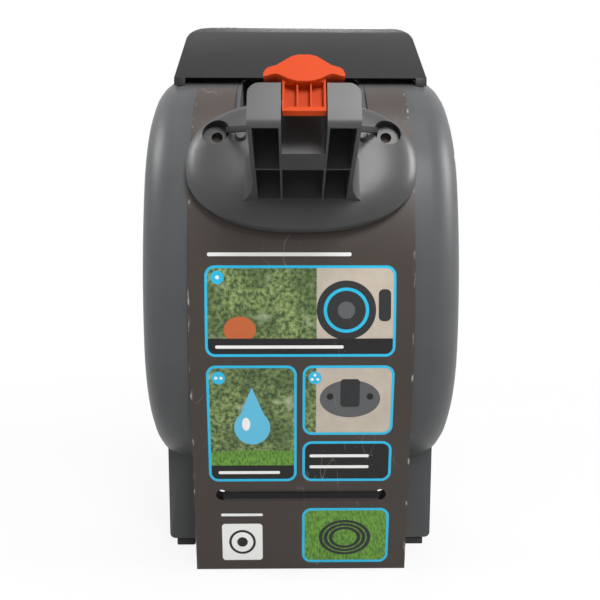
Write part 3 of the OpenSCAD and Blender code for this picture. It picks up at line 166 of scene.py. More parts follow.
class Graph:
    """A node tree, with one method that adds any node to it."""

    def __init__(self, tree: bpy.types.NodeTree) -> None:
        """Empties the tree."""
        self.tree = tree
        tree.nodes.clear()

    def node(self, kind: str, settings: Optional[Dict[str, Any]] = None,
             sockets: Optional[Dict[Union[int, str], Any]] = None,
             output: Union[int, str] = 0) -> Wire:
        """Adds a node.

        Args:
            kind: Blender's name of the node type.
            settings: Values of the node itself, set first.
            sockets: Values or wires for its inputs, by name or number.
            output: The output that the wire stands for.

        Returns:
            A wire on that output, or on the first input of a node that has no outputs.
        """
        made = self.tree.nodes.new(kind)
        for key, value in (settings or {}).items():
            setattr(made, key, value)
        for key, value in (sockets or {}).items():
            if isinstance(value, Wire):
                self.tree.links.new(value.socket, made.inputs[key])
            else:
                made.inputs[key].default_value = value
        return Wire(self, made.outputs[output] if made.outputs else made.inputs[0])

    def place(self) -> Wire:
        """Gives the point on the object, in metres."""
        return self.node("ShaderNodeTexCoord", output="Object")

    def axes(self, point: Wire) -> Tuple[Wire, Wire, Wire]:
        """Splits a point into x, y and z."""
        parts = self.node("ShaderNodeSeparateXYZ", sockets={0: point})
        return parts, parts.out("Y"), parts.out("Z")

    def stretch(self, point: Wire, by: Sequence[float]) -> Wire:
        """Scales a point by a factor for each axis."""
        return self.node("ShaderNodeVectorMath", {"operation": "MULTIPLY"},
                         {0: point, 1: tuple(by)})

    def noise(self, point: Wire, size_mm: float, detail: float = 2.0, rough: float = 0.5) -> Wire:
        """Gives soft noise whose grains are about size_mm across."""
        return self.node("ShaderNodeTexNoise", None, {
            "Vector": point, "Scale": MM_PER_M / size_mm, "Detail": detail, "Roughness": rough})

    def ripple(self, along: Wire, pitch_mm: float) -> Wire:
        """Gives a sine from -1 to 1 that repeats at a pitch along an axis."""
        return (along * (MM_PER_M * FULL_TURN / pitch_mm)).wave()

    def mix(self, share: Number, first: Any, second: Any) -> Wire:
        """Mixes two colours.

        Args:
            share: Share of the second colour.
            first: Colour or wire at share 0.
            second: Colour or wire at share 1.

        Returns:
            The mixed colour.
        """
        first, second = (c if isinstance(c, Wire) else rgba(c) for c in (first, second))
        return self.node("ShaderNodeMix", {"data_type": "RGBA"}, {0: share, 6: first, 7: second}, 2)

    def bump(self, height: Wire, depth_mm: float, strength: float = 1.0) -> Wire:
        """Turns a height of 0 to 1 into a normal."""
        return self.node("ShaderNodeBump", None, {
            "Height": height, "Distance": depth_mm * MM, "Strength": strength})

    def surface(self, **sockets: Any) -> None:
        """Ends a material in one Principled shader; names use _ for a blank."""
        shader = self.node("ShaderNodeBsdfPrincipled", None,
                           {key.replace("_", " "): value for key, value in sockets.items()})
        self.node("ShaderNodeOutputMaterial", None, {"Surface": shader})

    def seen(self) -> Wire:
        """Gives 1 on rays of the camera, of mirrors and of glass, and 0 on rays that light."""
        path = self.node("ShaderNodeLightPath", output="Is Camera Ray")
        return path.most(path.out("Is Glossy Ray")).most(path.out("Is Transmission Ray"))


@dataclass(frozen=True)
class Finish:
    """A surface finish; each kind draws its own nodes."""

    name: str
    colour: Colour
    roughness: float = 0.45

    def draw(self, graph: Graph) -> None:
        """Adds the finish's nodes to a material's graph."""
        raise NotImplementedError


@lru_cache(maxsize=None)
def material_of(finish: Finish) -> bpy.types.Material:
    """Makes the material of a finish, once.

    Args:
        finish: The finish.

    Returns:
        Its material.
    """
    made = bpy.data.materials.new(finish.name)
    made.use_nodes = True
    finish.draw(Graph(made.node_tree))
    made.diffuse_color = rgba(finish.colour)
    return made


@dataclass(frozen=True)
class MouldedPlastic(Finish):
    """Injection-moulded plastic: eroded grain, faint flow marks, scratches and rubbed corners."""

    grain_mm: float = 0.9
    grain_depth_mm: float = 0.05
    cloud_mm: float = 70.0
    flow_mm: float = 9.0
    flow_way: Triple = (0.25, 1.0, 1.0)
    scratch_mm: float = 2.2
    scratch_way: Triple = (1.0, 0.12, 0.9)
    scratch_band: Pair = (0.64, 0.74)
    patch_mm: float = 45.0
    patch_band: Pair = (0.50, 0.68)
    corner_band: Pair = (0.52, 0.62)
    mottle: float = 0.10
    scuff: float = 0.10
    rubbed: float = 0.25
    gloss: float = 0.26

    def draw(self, graph: Graph) -> None:
        """Adds the finish's nodes.

        Args:
            graph: The material's graph.
        """
        point = graph.place()
        cloud = graph.noise(point, self.cloud_mm, detail=4.0)
        flow = graph.noise(graph.stretch(point, self.flow_way), self.flow_mm, detail=3.0)
        grain = graph.noise(point, self.grain_mm, rough=0.6)
        lines = graph.noise(graph.stretch(point, self.scratch_way), self.scratch_mm)
        patch = graph.noise(point, self.patch_mm).step(*self.patch_band)
        scratch = lines.step(*self.scratch_band) * patch
        corner = graph.node("ShaderNodeNewGeometry", output="Pointiness").step(*self.corner_band)
        tone = ((cloud - 0.5) * 1.4 + (flow - 0.5) * 0.6 + 0.5).least(1.0).most(0.0)
        base = graph.mix(tone, shade(self.colour, 1 - self.mottle),
                         shade(self.colour, 1 + self.mottle))
        pale = tuple(c * 0.7 + 0.08 for c in self.colour)
        worn = graph.mix(scratch * self.scuff, base, pale)
        graph.surface(
            Base_Color=graph.mix(corner * self.rubbed, worn, pale),
            Roughness=self.roughness + (cloud - 0.5) * 0.16 + grain * 0.06 + scratch * 0.08,
            Normal=graph.bump(grain * 0.8 + flow * 0.2, self.grain_depth_mm, 0.5),
            Specular_IOR_Level=self.gloss)


@dataclass(frozen=True)
class Rubber(Finish):
    """Black rubber with a matt, slightly pitted skin."""

    pit_mm: float = 1.4
    pit_depth_mm: float = 0.12
    dust_mm: float = 22.0
    dust_band: Pair = (0.42, 0.75)
    dust_tone: float = 0.03

    def draw(self, graph: Graph) -> None:
        """Adds the finish's nodes.

        Args:
            graph: The material's graph.
        """
        point = graph.place()
        pits = graph.noise(point, self.pit_mm, detail=3.0, rough=0.6)
        dust = graph.noise(point, self.dust_mm, detail=4.0).step(*self.dust_band)
        dusty = tuple(c + self.dust_tone for c in self.colour)
        graph.surface(
            Base_Color=graph.mix(dust * 0.5, self.colour, dusty),
            Roughness=self.roughness + dust * 0.15,
            Normal=graph.bump(pits, self.pit_depth_mm, 0.5), Specular_IOR_Level=0.3)


@dataclass(frozen=True)
class HoseSkin(Finish):
    """Soft hose: fine ribs round it and dust in patches."""

    rib_mm: float = 2.4
    skin_mm: float = 1.1
    skin_depth_mm: float = 0.1
    dust_mm: float = 30.0
    dust_band: Pair = (0.40, 0.78)

    def draw(self, graph: Graph) -> None:
        """Adds the finish's nodes.

        Args:
            graph: The material's graph.
        """
        point = graph.place()
        skin = graph.noise(point, self.skin_mm, rough=0.6)
        dust = graph.noise(point, self.dust_mm, detail=4.0).step(*self.dust_band)
        across, _, _ = graph.axes(point)
        rib = graph.ripple(across, self.rib_mm)
        graph.surface(
            Base_Color=graph.mix(dust * 0.45, self.colour, shade(self.colour, 1.5)),
            Roughness=self.roughness + dust * 0.18,
            Normal=graph.bump(skin * 0.5 + rib * 0.15 + 0.3, self.skin_depth_mm, 0.5))


@dataclass(frozen=True)
class Metal(Finish):
    """Turned or drawn metal with fine lines along one axis and dull patches."""

    line_way: Triple = (0.08, 1.0, 1.0)
    line_mm: float = 0.6
    line_depth_mm: float = 0.03
    dull_mm: float = 14.0
    dull_band: Pair = (0.4, 0.75)

    def draw(self, graph: Graph) -> None:
        """Adds the finish's nodes.

        Args:
            graph: The material's graph.
        """
        point = graph.place()
        line = graph.noise(graph.stretch(point, self.line_way), self.line_mm)
        dull = graph.noise(point, self.dull_mm, detail=4.0).step(*self.dull_band)
        graph.surface(
            Base_Color=graph.mix(dull, self.colour, shade(self.colour, 0.72)), Metallic=1.0,
            Roughness=self.roughness + line * 0.12 + dull * 0.15,
            Normal=graph.bump(line, self.line_depth_mm, 0.4))


@dataclass(frozen=True)
class TieNylon(Finish):
    """Black nylon strap with fine teeth across it."""

    tooth_mm: float = 1.6
    tooth_depth_mm: float = 0.12
    haze_mm: float = 8.0

    def draw(self, graph: Graph) -> None:
        """Adds the finish's nodes.

        Args:
            graph: The material's graph.
        """
        point = graph.place()
        across, _, _ = graph.axes(point)
        tooth = graph.ripple(across, self.tooth_mm) * 0.5 + 0.5
        haze = graph.noise(point, self.haze_mm, detail=3.0)
        graph.surface(
            Base_Color=graph.mix(haze * 0.5, self.colour, shade(self.colour, 1.8)),
            Roughness=self.roughness + haze * 0.15,
            Normal=graph.bump(tooth, self.tooth_depth_mm, 0.35), Specular_IOR_Level=0.16)


@dataclass(frozen=True)
class Oblong:
    """A rounded box on the card, in millimetres from the card's middle and the floor."""

    x: float
    z: float
    half_w: float
    half_h: float
    corner_r: float = 7.0

    def outside(self, x: Wire, z: Wire) -> Wire:
        """Gives the distance outside the box, which is negative in it.

        Args:
            x: Place across the card, in millimetres.
            z: Place up the card, in millimetres.

        Returns:
            The distance in millimetres.
        """
        across = (abs(x - self.x) - (self.half_w - self.corner_r)).most(0.0)
        up = (abs(z - self.z) - (self.half_h - self.corner_r)).most(0.0)
        return (across * across + up * up).root() - self.corner_r


@dataclass(frozen=True)
class Disc:
    """A disc on the card, or an oval where flat isn't 1, placed as an Oblong is."""

    x: float
    z: float
    r: float
    flat: float = 1.0

    def outside(self, x: Wire, z: Wire) -> Wire:
        """Gives the distance outside the disc, which is negative in it."""
        across, up = x - self.x, (z - self.z) * self.flat
        return (across * across + up * up).root() - self.r


def nearest(shapes: Sequence[Union[Oblong, Disc]], x: Wire, z: Wire) -> Wire:
    """Gives the distance outside the nearest of several shapes.

    Args:
        shapes: The shapes.
        x: Place across the card, in millimetres.
        z: Place up the card, in millimetres.

    Returns:
        The least distance.
    """
    least = shapes[0].outside(x, z)
    for shape in shapes[1:]:
        least = least.least(shape.outside(x, z))
    return least


def area(distance: Wire) -> Wire:
    """Gives 1 inside a shape and 0 outside it."""
    return distance.step(PRINT_SOFT_MM, -PRINT_SOFT_MM)


def outline(distance: Wire, width: float) -> Wire:
    """Gives a line of that width along a shape's edge."""
    return abs(distance).below(width / 2, LINE_SOFT_MM)


@dataclass(frozen=True)
class PrintedCard(Finish):
    """Printed board: framed garden panels with plain drawings, and rubbed edges."""

    frame_blue: Colour = (0.020, 0.400, 0.620)
    ink: Colour = (0.010, 0.010, 0.010)
    white: Colour = (0.72, 0.72, 0.70)
    dark: Colour = (0.020, 0.021, 0.022)
    grey: Colour = (0.085, 0.088, 0.090)
    water: Colour = (0.10, 0.42, 0.60)
    clay: Colour = (0.42, 0.10, 0.03)
    leaf_dark: Colour = (0.022, 0.050, 0.016)
    leaf_light: Colour = (0.260, 0.330, 0.120)
    leaf_gap: Colour = (0.50, 0.53, 0.40)
    wall: Colour = (0.430, 0.375, 0.310)
    lawn: Colour = (0.100, 0.230, 0.030)
    bare_board: Colour = (0.46, 0.45, 0.43)
    reverse: Colour = (0.330, 0.270, 0.200)

    half_width: float = 91.5
    rub_w: float = 2.2
    frame_w: float = 2.2
    panels: Tuple[Oblong, ...] = (
        Oblong(-1.0, 231.0, 76.0, 36.0), Oblong(-41.0, 135.5, 36.0, 50.0),
        Oblong(38.5, 156.5, 36.5, 29.0), Oblong(38.5, 102.5, 36.5, 17.0),
        Oblong(38.5, 33.0, 36.5, 25.0))
    wall_x: float = 12.0
    wall_z: float = 126.0
    lawn_z: float = 62.0
    drop_lawn_z: float = 112.0
    column_x: float = -3.0
    scene_soft: float = 0.4

    reel: Disc = Disc(36.0, 232.0, 24.0)
    reel_hub: Disc = Disc(36.0, 232.0, 7.0)
    ring_inset: float = 7.0
    ring_w: float = 2.6
    wall_arm: Oblong = Oblong(67.0, 236.0, 5.0, 13.0, 4.0)
    plate: Disc = Disc(40.0, 158.0, 25.0, 1.55)
    plate_arm: Oblong = Oblong(40.0, 163.0, 8.0, 12.0, 3.0)
    plate_holes: Tuple[Disc, ...] = (Disc(23.5, 160.0, 2.8), Disc(56.5, 160.0, 2.8))
    drop: Disc = Disc(-41.0, 133.0, 15.0)
    drop_tip_z: float = 168.0
    drop_neck_z: float = 137.0
    drop_slope: float = 0.42
    drop_gleam: Disc = Disc(-46.0, 136.0, 3.4, 0.6)
    coil: Disc = Disc(38.0, 31.0, 21.0, 1.35)
    coil_insets: Triple = (0.0, 4.4, 8.8)
    coil_w: float = 3.2
    pot: Disc = Disc(-50.0, 216.0, 13.0, 1.2)

    strip_z: Pair = (194.0, 209.0)
    drop_strip_z: Pair = (72.0, 99.0)
    strip_soft: float = 0.3
    dark_panel: Oblong = Oblong(38.5, 102.5, 37.0, 17.5)
    bars: Tuple[Oblong, ...] = (
        Oblong(32.0, 107.5, 25.0, 1.3, 1.2), Oblong(32.0, 97.5, 25.0, 1.3, 1.2),
        Oblong(-18.0, 202.0, 52.0, 1.3, 1.2), Oblong(-44.0, 92.5, 26.0, 1.3, 1.2),
        Oblong(-18.0, 277.0, 58.0, 1.5, 1.4), Oblong(-51.0, 53.0, 18.0, 1.2, 1.1))
    badges: Tuple[Disc, ...] = (
        Disc(-68.0, 258.5, 5.4), Disc(-68.0, 176.0, 5.4), Disc(11.0, 176.0, 5.4))
    pips: Tuple[Disc, ...] = (
        Disc(-68.0, 258.5, 1.5), Disc(-70.1, 176.0, 1.3), Disc(-65.9, 176.0, 1.3),
        Disc(8.7, 174.8, 1.2), Disc(13.3, 174.8, 1.2), Disc(11.0, 178.4, 1.2))
    target: Oblong = Oblong(-51.0, 27.0, 17.5, 17.5, 3.0)
    target_ring: Disc = Disc(-51.0, 27.0, 10.5)
    target_dot: Disc = Disc(-51.0, 27.0, 4.6)

    def scenery(self, graph: Graph, point: Wire, x: Wire, z: Wire) -> Wire:
        """Draws the hedge, wall and lawn behind the panels' drawings.

        Args:
            graph: The material's graph.
            point: Place on the card.
            x: Place across the card, in millimetres.
            z: Place up the card, in millimetres.

        Returns:
            Their colour.
        """
        leaves = graph.noise(point, 3.2, detail=3.0, rough=0.60).step(0.30, 0.72)
        gaps = graph.noise(point, 17.0)
        sunlit = graph.noise(point, 30.0, detail=1.0).step(0.35, 0.65)
        hedge = graph.mix(leaves * (0.45 + 0.55 * sunlit), self.leaf_dark, self.leaf_light)
        hedge = graph.mix(gaps.step(0.58, 0.76) * 0.45, hedge, self.leaf_gap)
        plaster = graph.noise(point, 12.0, detail=4.0)
        wall = graph.mix(plaster, shade(self.wall, 0.82), shade(self.wall, 1.16))
        blades = graph.noise(graph.stretch(point, (1.0, 1.0, 0.35)), 1.5, detail=3.0)
        lawn = graph.mix(blades.step(0.3, 0.7), shade(self.lawn, 0.55), shade(self.lawn, 1.35))
        soft = self.scene_soft
        walled = x.above(self.wall_x, soft) * z.above(self.wall_z, soft)
        grassed = z.below(self.lawn_z + (gaps - 0.5) * 8.0, soft)
        drop_grass = z.below(self.drop_lawn_z + (gaps - 0.5) * 6.0, soft)
        grassed = grassed.most(x.below(self.column_x, soft) * drop_grass)
        return graph.mix(grassed, graph.mix(walled, hedge, wall), lawn)

    def drawings(self, graph: Graph, x: Wire, z: Wire, ground: Wire) -> Wire:
        """Draws a reel, a wall plate, a drop, a coil and a pot in the panels.

        Args:
            graph: The material's graph.
            x: Place across the card, in millimetres.
            z: Place up the card, in millimetres.
            ground: Colour behind them.

        Returns:
            The colour with the drawings.
        """
        reel = self.reel.outside(x, z)
        coil = self.coil.outside(x, z)
        tip = abs(x - self.drop.x) - (self.drop_tip_z - z) * self.drop_slope
        tip = tip.most(self.drop_neck_z - z).most(z - self.drop_tip_z)
        layers = [
            (area(reel), self.dark),
            (outline(reel + self.ring_inset, self.ring_w), self.frame_blue),
            (area(self.reel_hub.outside(x, z)), self.grey),
            (area(self.wall_arm.outside(x, z)), self.dark),
            (area(self.plate.outside(x, z)), self.grey),
            (area(self.plate_arm.outside(x, z)), self.dark),
            (area(nearest(self.plate_holes, x, z)), self.ink),
            (area(self.drop.outside(x, z).least(tip)), self.water),
            (area(self.drop_gleam.outside(x, z)), self.white)]
        layers += [(outline(coil + inset, self.coil_w), self.dark) for inset in self.coil_insets]
        layers.append((area(self.pot.outside(x, z)), self.clay))
        for share, colour in layers:
            ground = graph.mix(share, ground, colour)
        return ground

    def print_on(self, graph: Graph, point: Wire, x: Wire, z: Wire, board: Wire) -> Wire:
        """Puts the panels, frames, strips and marks on the unprinted board.

        Args:
            graph: The material's graph.
            point: Place on the card.
            x: Place across the card, in millimetres.
            z: Place up the card, in millimetres.
            board: Colour of the unprinted board.

        Returns:
            The printed colour.
        """
        soft = self.strip_soft
        edge = nearest(self.panels, x, z)
        inside = area(edge)
        pictures = self.drawings(graph, x, z, self.scenery(graph, point, x, z))
        strip = z.above(self.strip_z[0], soft) * z.below(self.strip_z[1], soft)
        drop_strip = z.above(self.drop_strip_z[0], soft) * z.below(self.drop_strip_z[1], soft)
        drop_strip = drop_strip * x.below(self.column_x, soft)
        strips = strip.most(drop_strip).most(area(self.dark_panel.outside(x, z)))
        rings = outline(self.target_ring.outside(x, z), self.frame_w)
        for share, colour in (
                (inside, pictures),
                (strips * inside, self.ink),
                (outline(edge, self.frame_w), self.frame_blue),
                (area(nearest(self.bars, x, z)), self.white),
                (area(nearest(self.badges, x, z)), self.frame_blue),
                (area(nearest(self.pips, x, z)), self.white),
                (area(self.target.outside(x, z)), self.white),
                (rings.most(area(self.target_dot.outside(x, z))), self.ink)):
            board = graph.mix(share, board, colour)
        return board

    def draw(self, graph: Graph) -> None:
        """Adds the finish's nodes.

        Args:
            graph: The material's graph.
        """
        point = graph.place()
        across, _, up = graph.axes(point)
        x, z = across * MM_PER_M, up * MM_PER_M
        fibre = graph.noise(graph.stretch(point, (1.0, 1.0, 0.35)), 1.2, detail=3.0)
        cloud = graph.noise(point, 60.0, detail=4.0)
        board = graph.mix(cloud, shade(self.colour, 0.86), shade(self.colour, 1.14))
        printed = self.print_on(graph, point, x, z, board)
        plain = graph.mix(fibre, shade(self.reverse, 0.9), self.reverse)
        _, facing, _ = graph.axes(graph.node("ShaderNodeNewGeometry", output="Normal"))
        made = graph.mix(facing.step(0.1, 0.3), printed, plain)
        chew = graph.noise(graph.stretch(point, (1.0, 1.0, 0.3)), 5.0, detail=4.0)
        rubbed = (self.half_width - abs(x)).step(self.rub_w, 0.0) * chew.step(0.56, 0.68)
        crease = graph.noise(graph.stretch(point, (1.0, 0.3, 0.3)), 26.0)
        fold = abs(crease - 0.5).step(0.010, 0.0) * cloud.step(0.54, 0.68)
        speck = graph.noise(point, 2.6).step(0.70, 0.78) * cloud.step(0.5, 0.7)
        wear = rubbed.most(fold * 0.25).most(speck * 0.35)
        graph.surface(
            Base_Color=graph.mix(wear * 0.8, made, self.bare_board),
            Roughness=self.roughness + (cloud - 0.5) * 0.16 + wear * 0.25,
            Normal=graph.bump(fibre * 0.4 + cloud * 0.6, 0.12, 0.3), Specular_IOR_Level=0.26)


class Paint(Enum):
    """The finishes of the box's pieces."""

    SHELL = MouldedPlastic("shell_plastic", (0.056, 0.058, 0.060), 0.38)
    HANDLE = MouldedPlastic("handle_plastic", (0.012, 0.012, 0.013), 0.34, gloss=0.16)
    COVER = MouldedPlastic("cover_plastic", (0.034, 0.035, 0.037), 0.42)
    TEAL = MouldedPlastic("teal_plastic", (0.010, 0.200, 0.235), 0.36)
    BRACKET = MouldedPlastic("bracket_plastic", (0.036, 0.036, 0.036), 0.38, gloss=0.38)
    ORANGE = MouldedPlastic(
        "orange_plastic", (0.500, 0.048, 0.005), 0.46, mottle=0.05, rubbed=0.04, gloss=0.10)
    WHITE = MouldedPlastic("gear_plastic", (0.60, 0.59, 0.55), 0.40)
    TRIM = MouldedPlastic("trim_plastic", (0.020, 0.020, 0.021), 0.38)
    TRAY = MouldedPlastic("tray_plastic", (0.075, 0.076, 0.079), 0.50)
    TIE = TieNylon("tie_nylon", (0.006, 0.006, 0.006), 0.40)
    RUBBER = Rubber("foot_rubber", (0.022, 0.022, 0.022), 0.70)
    CARD = PrintedCard("card_print", (0.043, 0.034, 0.029), 0.34)
    STEEL = Metal("bare_steel", (0.56, 0.56, 0.57), 0.28)
    BRASS = Metal("brass", (0.60, 0.42, 0.17), 0.26)
    HOSE = HoseSkin("hose_skin", (0.110, 0.115, 0.120), 0.50)


@lru_cache(maxsize=None)
def smoothing_group(angle_deg: float) -> bpy.types.NodeTree:
    """Makes the geometry nodes that shade smooth over edges flatter than an angle.

    Args:
        angle_deg: Edges sharper than this stay sharp.

    Returns:
        The node group for a modifier.
    """
    group = bpy.data.node_groups.new(f"smooth_below_{angle_deg:g}", "GeometryNodeTree")
    group.is_modifier = True
    graph = Graph(group)
    for way in ("INPUT", "OUTPUT"):
        group.interface.new_socket("Geometry", in_out=way, socket_type="NodeSocketGeometry")
    shape = graph.node("NodeGroupInput")
    bare = graph.node("GeometryNodeRemoveAttribute", None,
                      {"Geometry": shape, "Name": "custom_normal"})
    joined = graph.node("GeometryNodeMergeByDistance", None,
                        {"Geometry": bare, "Distance": JOIN_GAP_M})
    angle = graph.node("GeometryNodeInputMeshEdgeAngle")
    flat = graph.node("FunctionNodeCompare", {"data_type": "FLOAT", "operation": "LESS_THAN"},
                      {"A": angle, "B": math.radians(angle_deg)})
    for domain, smooth in (("FACE", True), ("EDGE", flat)):
        joined = graph.node("GeometryNodeSetShadeSmooth", {"domain": domain},
                            {"Geometry": joined, "Shade Smooth": smooth})
    graph.node("NodeGroupOutput", None, {"Geometry": joined})
    return group


@dataclass(frozen=True)
class Edges:
    """How a piece's edges are softened."""

    width_mm: float = 0.6
    segments: int = 2
    smooth_deg: float = 24.0
    bevel_deg: float = 32.0
    flat_deg: float = 0.4

    def soften(self, obj: bpy.types.Object) -> None:
        """Adds the modifiers to a piece.

        Args:
            obj: The piece.
        """
        if self.width_mm:
            weld = obj.modifiers.new("join_corners", "WELD")
            weld.merge_threshold = JOIN_GAP_M
            flat = obj.modifiers.new("flat_faces", "DECIMATE")
            flat.decimate_type = "DISSOLVE"
            flat.angle_limit = math.radians(self.flat_deg)
            bevel = obj.modifiers.new("soft_edges", "BEVEL")
            bevel.width = self.width_mm * MM
            bevel.segments = self.segments
            bevel.limit_method = "ANGLE"
            bevel.angle_limit = math.radians(self.bevel_deg)
            bevel.use_clamp_overlap = True
        smooth = obj.modifiers.new("smooth_faces", "NODES")
        smooth.node_group = smoothing_group(self.smooth_deg)


PLAIN = Edges(0.0)
CURVED = Edges(0.0, smooth_deg=30.0)
FINE = Edges(0.3)
SOFT = Edges(0.6)
ROUND = Edges(1.2, 3)


def dress(node: str, paint: Paint, edges: Edges = SOFT) -> None:
    """Gives a CAD node its finish and softens its edges.

    Args:
        node: Name of the node.
        paint: Its finish.
        edges: How its edges are softened.
    """
    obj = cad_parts[node]
    material = material_of(paint.value)
    if not obj.material_slots:
        obj.data.materials.append(material)
    for slot in obj.material_slots:
        slot.material = material
    edges.soften(obj)
    LOG.info("dressed %s in %s", node, paint.name.lower())


def link_mesh(name: str, shape: bmesh.types.BMesh) -> bpy.types.Object:
    """Makes an object from a shape and puts it in the scene.

    Args:
        name: Name of the object and its mesh.
        shape: Its shape, which is used up.

    Returns:
        The object.
    """
    mesh = bpy.data.meshes.new(name)
    shape.to_mesh(mesh)
    shape.free()
    obj = bpy.data.objects.new(name, mesh)
    bpy.context.scene.collection.objects.link(obj)
    return obj


def new_hose(name: str, shape: bmesh.types.BMesh, body: str, stands_for: str) -> None:
    """Makes a piece of hose from a shape drawn in millimetres round the reel axis.

    Args:
        name: Name of the piece.
        shape: Its mesh, which is used up.
        body: Body that it rides on.
        stands_for: CAD node that it replaces.
    """
    axis = reel_axis()
    for vert in shape.verts:
        vert.co = Vector((vert.co.x, vert.co.y + axis.y, vert.co.z + axis.z)) * MM
    bmesh.ops.recalc_face_normals(shape, faces=shape.faces)
    obj = link_mesh(name, shape)
    obj.data.materials.append(material_of(Paint.HOSE.value))
    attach(obj, body)
    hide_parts(stands_for)
    LOG.info("built %s", name)


def add_tube(shape: bmesh.types.BMesh, path: Sequence[Vector], radius: float, sides: int) -> None:
    """Sweeps a round tube along a path and closes its ends.

    Args:
        shape: Mesh that the tube is added to.
        path: Points of the centre line, in millimetres.
        radius: Radius of the tube.
        sides: Points round it.
    """
    rings: List[List[bmesh.types.BMVert]] = []
    angles = [FULL_TURN * k / sides for k in range(sides)]
    across = Vector((1.0, 0.0, 0.0))
    last = len(path) - 1
    for index, point in enumerate(path):
        ahead = (path[min(index + 1, last)] - path[max(index - 1, 0)]).normalized()
        side = (across - ahead * across.dot(ahead)).normalized()
        other = ahead.cross(side)
        rings.append([shape.verts.new(point + radius * (math.cos(a) * side + math.sin(a) * other))
                      for a in angles])
    for first, second in zip(rings, rings[1:]):
        for k in range(sides):
            after = (k + 1) % sides
            face = shape.faces.new((first[k], first[after], second[after], second[k]))
            face.smooth = True
    shape.faces.new(rings[0])
    shape.faces.new(list(reversed(rings[-1])))


class SubAssembly:
    """Pieces that are built and dressed together."""

    def build(self) -> None:
        """Makes the pieces that replace CAD nodes, where there are any."""

    def dress(self) -> None:
        """Gives the CAD nodes their finishes."""
        raise NotImplementedError


@dataclass
class Housing(SubAssembly):
    """Two side shells with their covers, rings, pads and screws."""

    shell_edges: Edges = Edges(0.8, 3, 28.0, 50.0)

    def dress(self) -> None:
        """Gives the housing's nodes their finishes."""
        for side in ("left", "right"):
            dress(f"{side}_shell", Paint.SHELL, self.shell_edges)
            dress(f"{side}_side_cover", Paint.COVER)
            dress(f"{side}_trim_ring", Paint.TEAL)
        dress("foot_pads", Paint.RUBBER, ROUND)
        dress("housing_screws", Paint.STEEL, FINE)
        dress("handle_screws", Paint.STEEL, FINE)


@dataclass
class Handle(SubAssembly):
    """Carrying handle over the crown, and the swivel under it."""

    grip_edges: Edges = ROUND

    def dress(self) -> None:
        """Gives the handle's nodes their finishes."""
        dress("handle", Paint.HANDLE, self.grip_edges)
        dress("swivel_pocket", Paint.SHELL)
        dress("swivel_pin", Paint.STEEL, FINE)
        dress("lower_swivel_post", Paint.STEEL, FINE)


@dataclass
class Brackets(SubAssembly):
    """Both wall brackets, the lock lever, the printed card and the ties that hold them."""

    plate_edges: Edges = Edges(0.5, 2, 26.0)
    lever_edges: Edges = Edges(0.8, 3)
    card_edges: Edges = Edges(0.0, smooth_deg=28.0)

    def dress(self) -> None:
        """Gives the brackets' nodes their finishes."""
        for place in ("upper", "lower"):
            dress(f"{place}_bracket", Paint.BRACKET, self.plate_edges)
            dress(f"{place}_tie", Paint.TIE, FINE)
        dress("lock_lever", Paint.ORANGE, self.lever_edges)
        dress("lever_pin", Paint.STEEL, FINE)
        dress("instruction_card", Paint.CARD, self.card_edges)


@dataclass
class Reel(SubAssembly):
    """Drum with its hose, spring, ratchet and belt drive; sizes in millimetres."""

    hose_r: float = 7.5
    winding_r: float = 125.8
    pitch: float = 15.7
    turns: int = 8
    core_r: float = 62.2
    layer_gap: float = 15.1
    points_per_turn: int = 48
    outer_sides: int = 14
    inner_sides: int = 10

    def coil(self, radius: float, way: int) -> List[Vector]:
        """Gives the centre line of one layer of hose.

        Args:
            radius: Radius of the centre line.
            way: 1 or -1, the hand of the turns.

        Returns:
            Points round the reel axis.
        """
        count = self.points_per_turn * self.turns
        wide = self.pitch * self.turns
        angles = [FULL_TURN * k / self.points_per_turn for k in range(count + 1)]
        return [Vector((wide * (k / count - 0.5) * way, radius * math.cos(a), radius * math.sin(a)))
                for k, a in enumerate(angles)]

    def build(self) -> None:
        """Winds the hose on the drum, in place of its CAD solids."""
        outer, inner = bmesh.new(), bmesh.new()
        add_tube(outer, self.coil(self.winding_r, 1), self.hose_r, self.outer_sides)
        radius, way = self.winding_r - self.layer_gap, -1
        while radius - self.hose_r > self.core_r:
            add_tube(inner, self.coil(radius, way), self.hose_r, self.inner_sides)
            radius, way = radius - self.layer_gap, -way
        new_hose("wound_hose", outer, "drum", "hose_winding")
        new_hose("hose_under_layers", inner, "drum", "hose_inner_layers")

    def dress(self) -> None:
        """Gives the reel's nodes their finishes."""
        for node in ("drum_core", "left_flange", "right_flange"):
            dress(node, Paint.COVER)
        for node in ("axle", "spring_case", "spring_cover", "spring_arbor", "pawl_pin"):
            dress(node, Paint.STEEL, FINE)
        for node in ("axle_bushes", "ratchet_wheel", "drum_pulley", "guide_pulley"):
            dress(node, Paint.WHITE, FINE)
        dress("rewind_spring", Paint.STEEL, CURVED)
        dress("pawl", Paint.ORANGE, FINE)
        dress("guide_belt", Paint.RUBBER, CURVED)


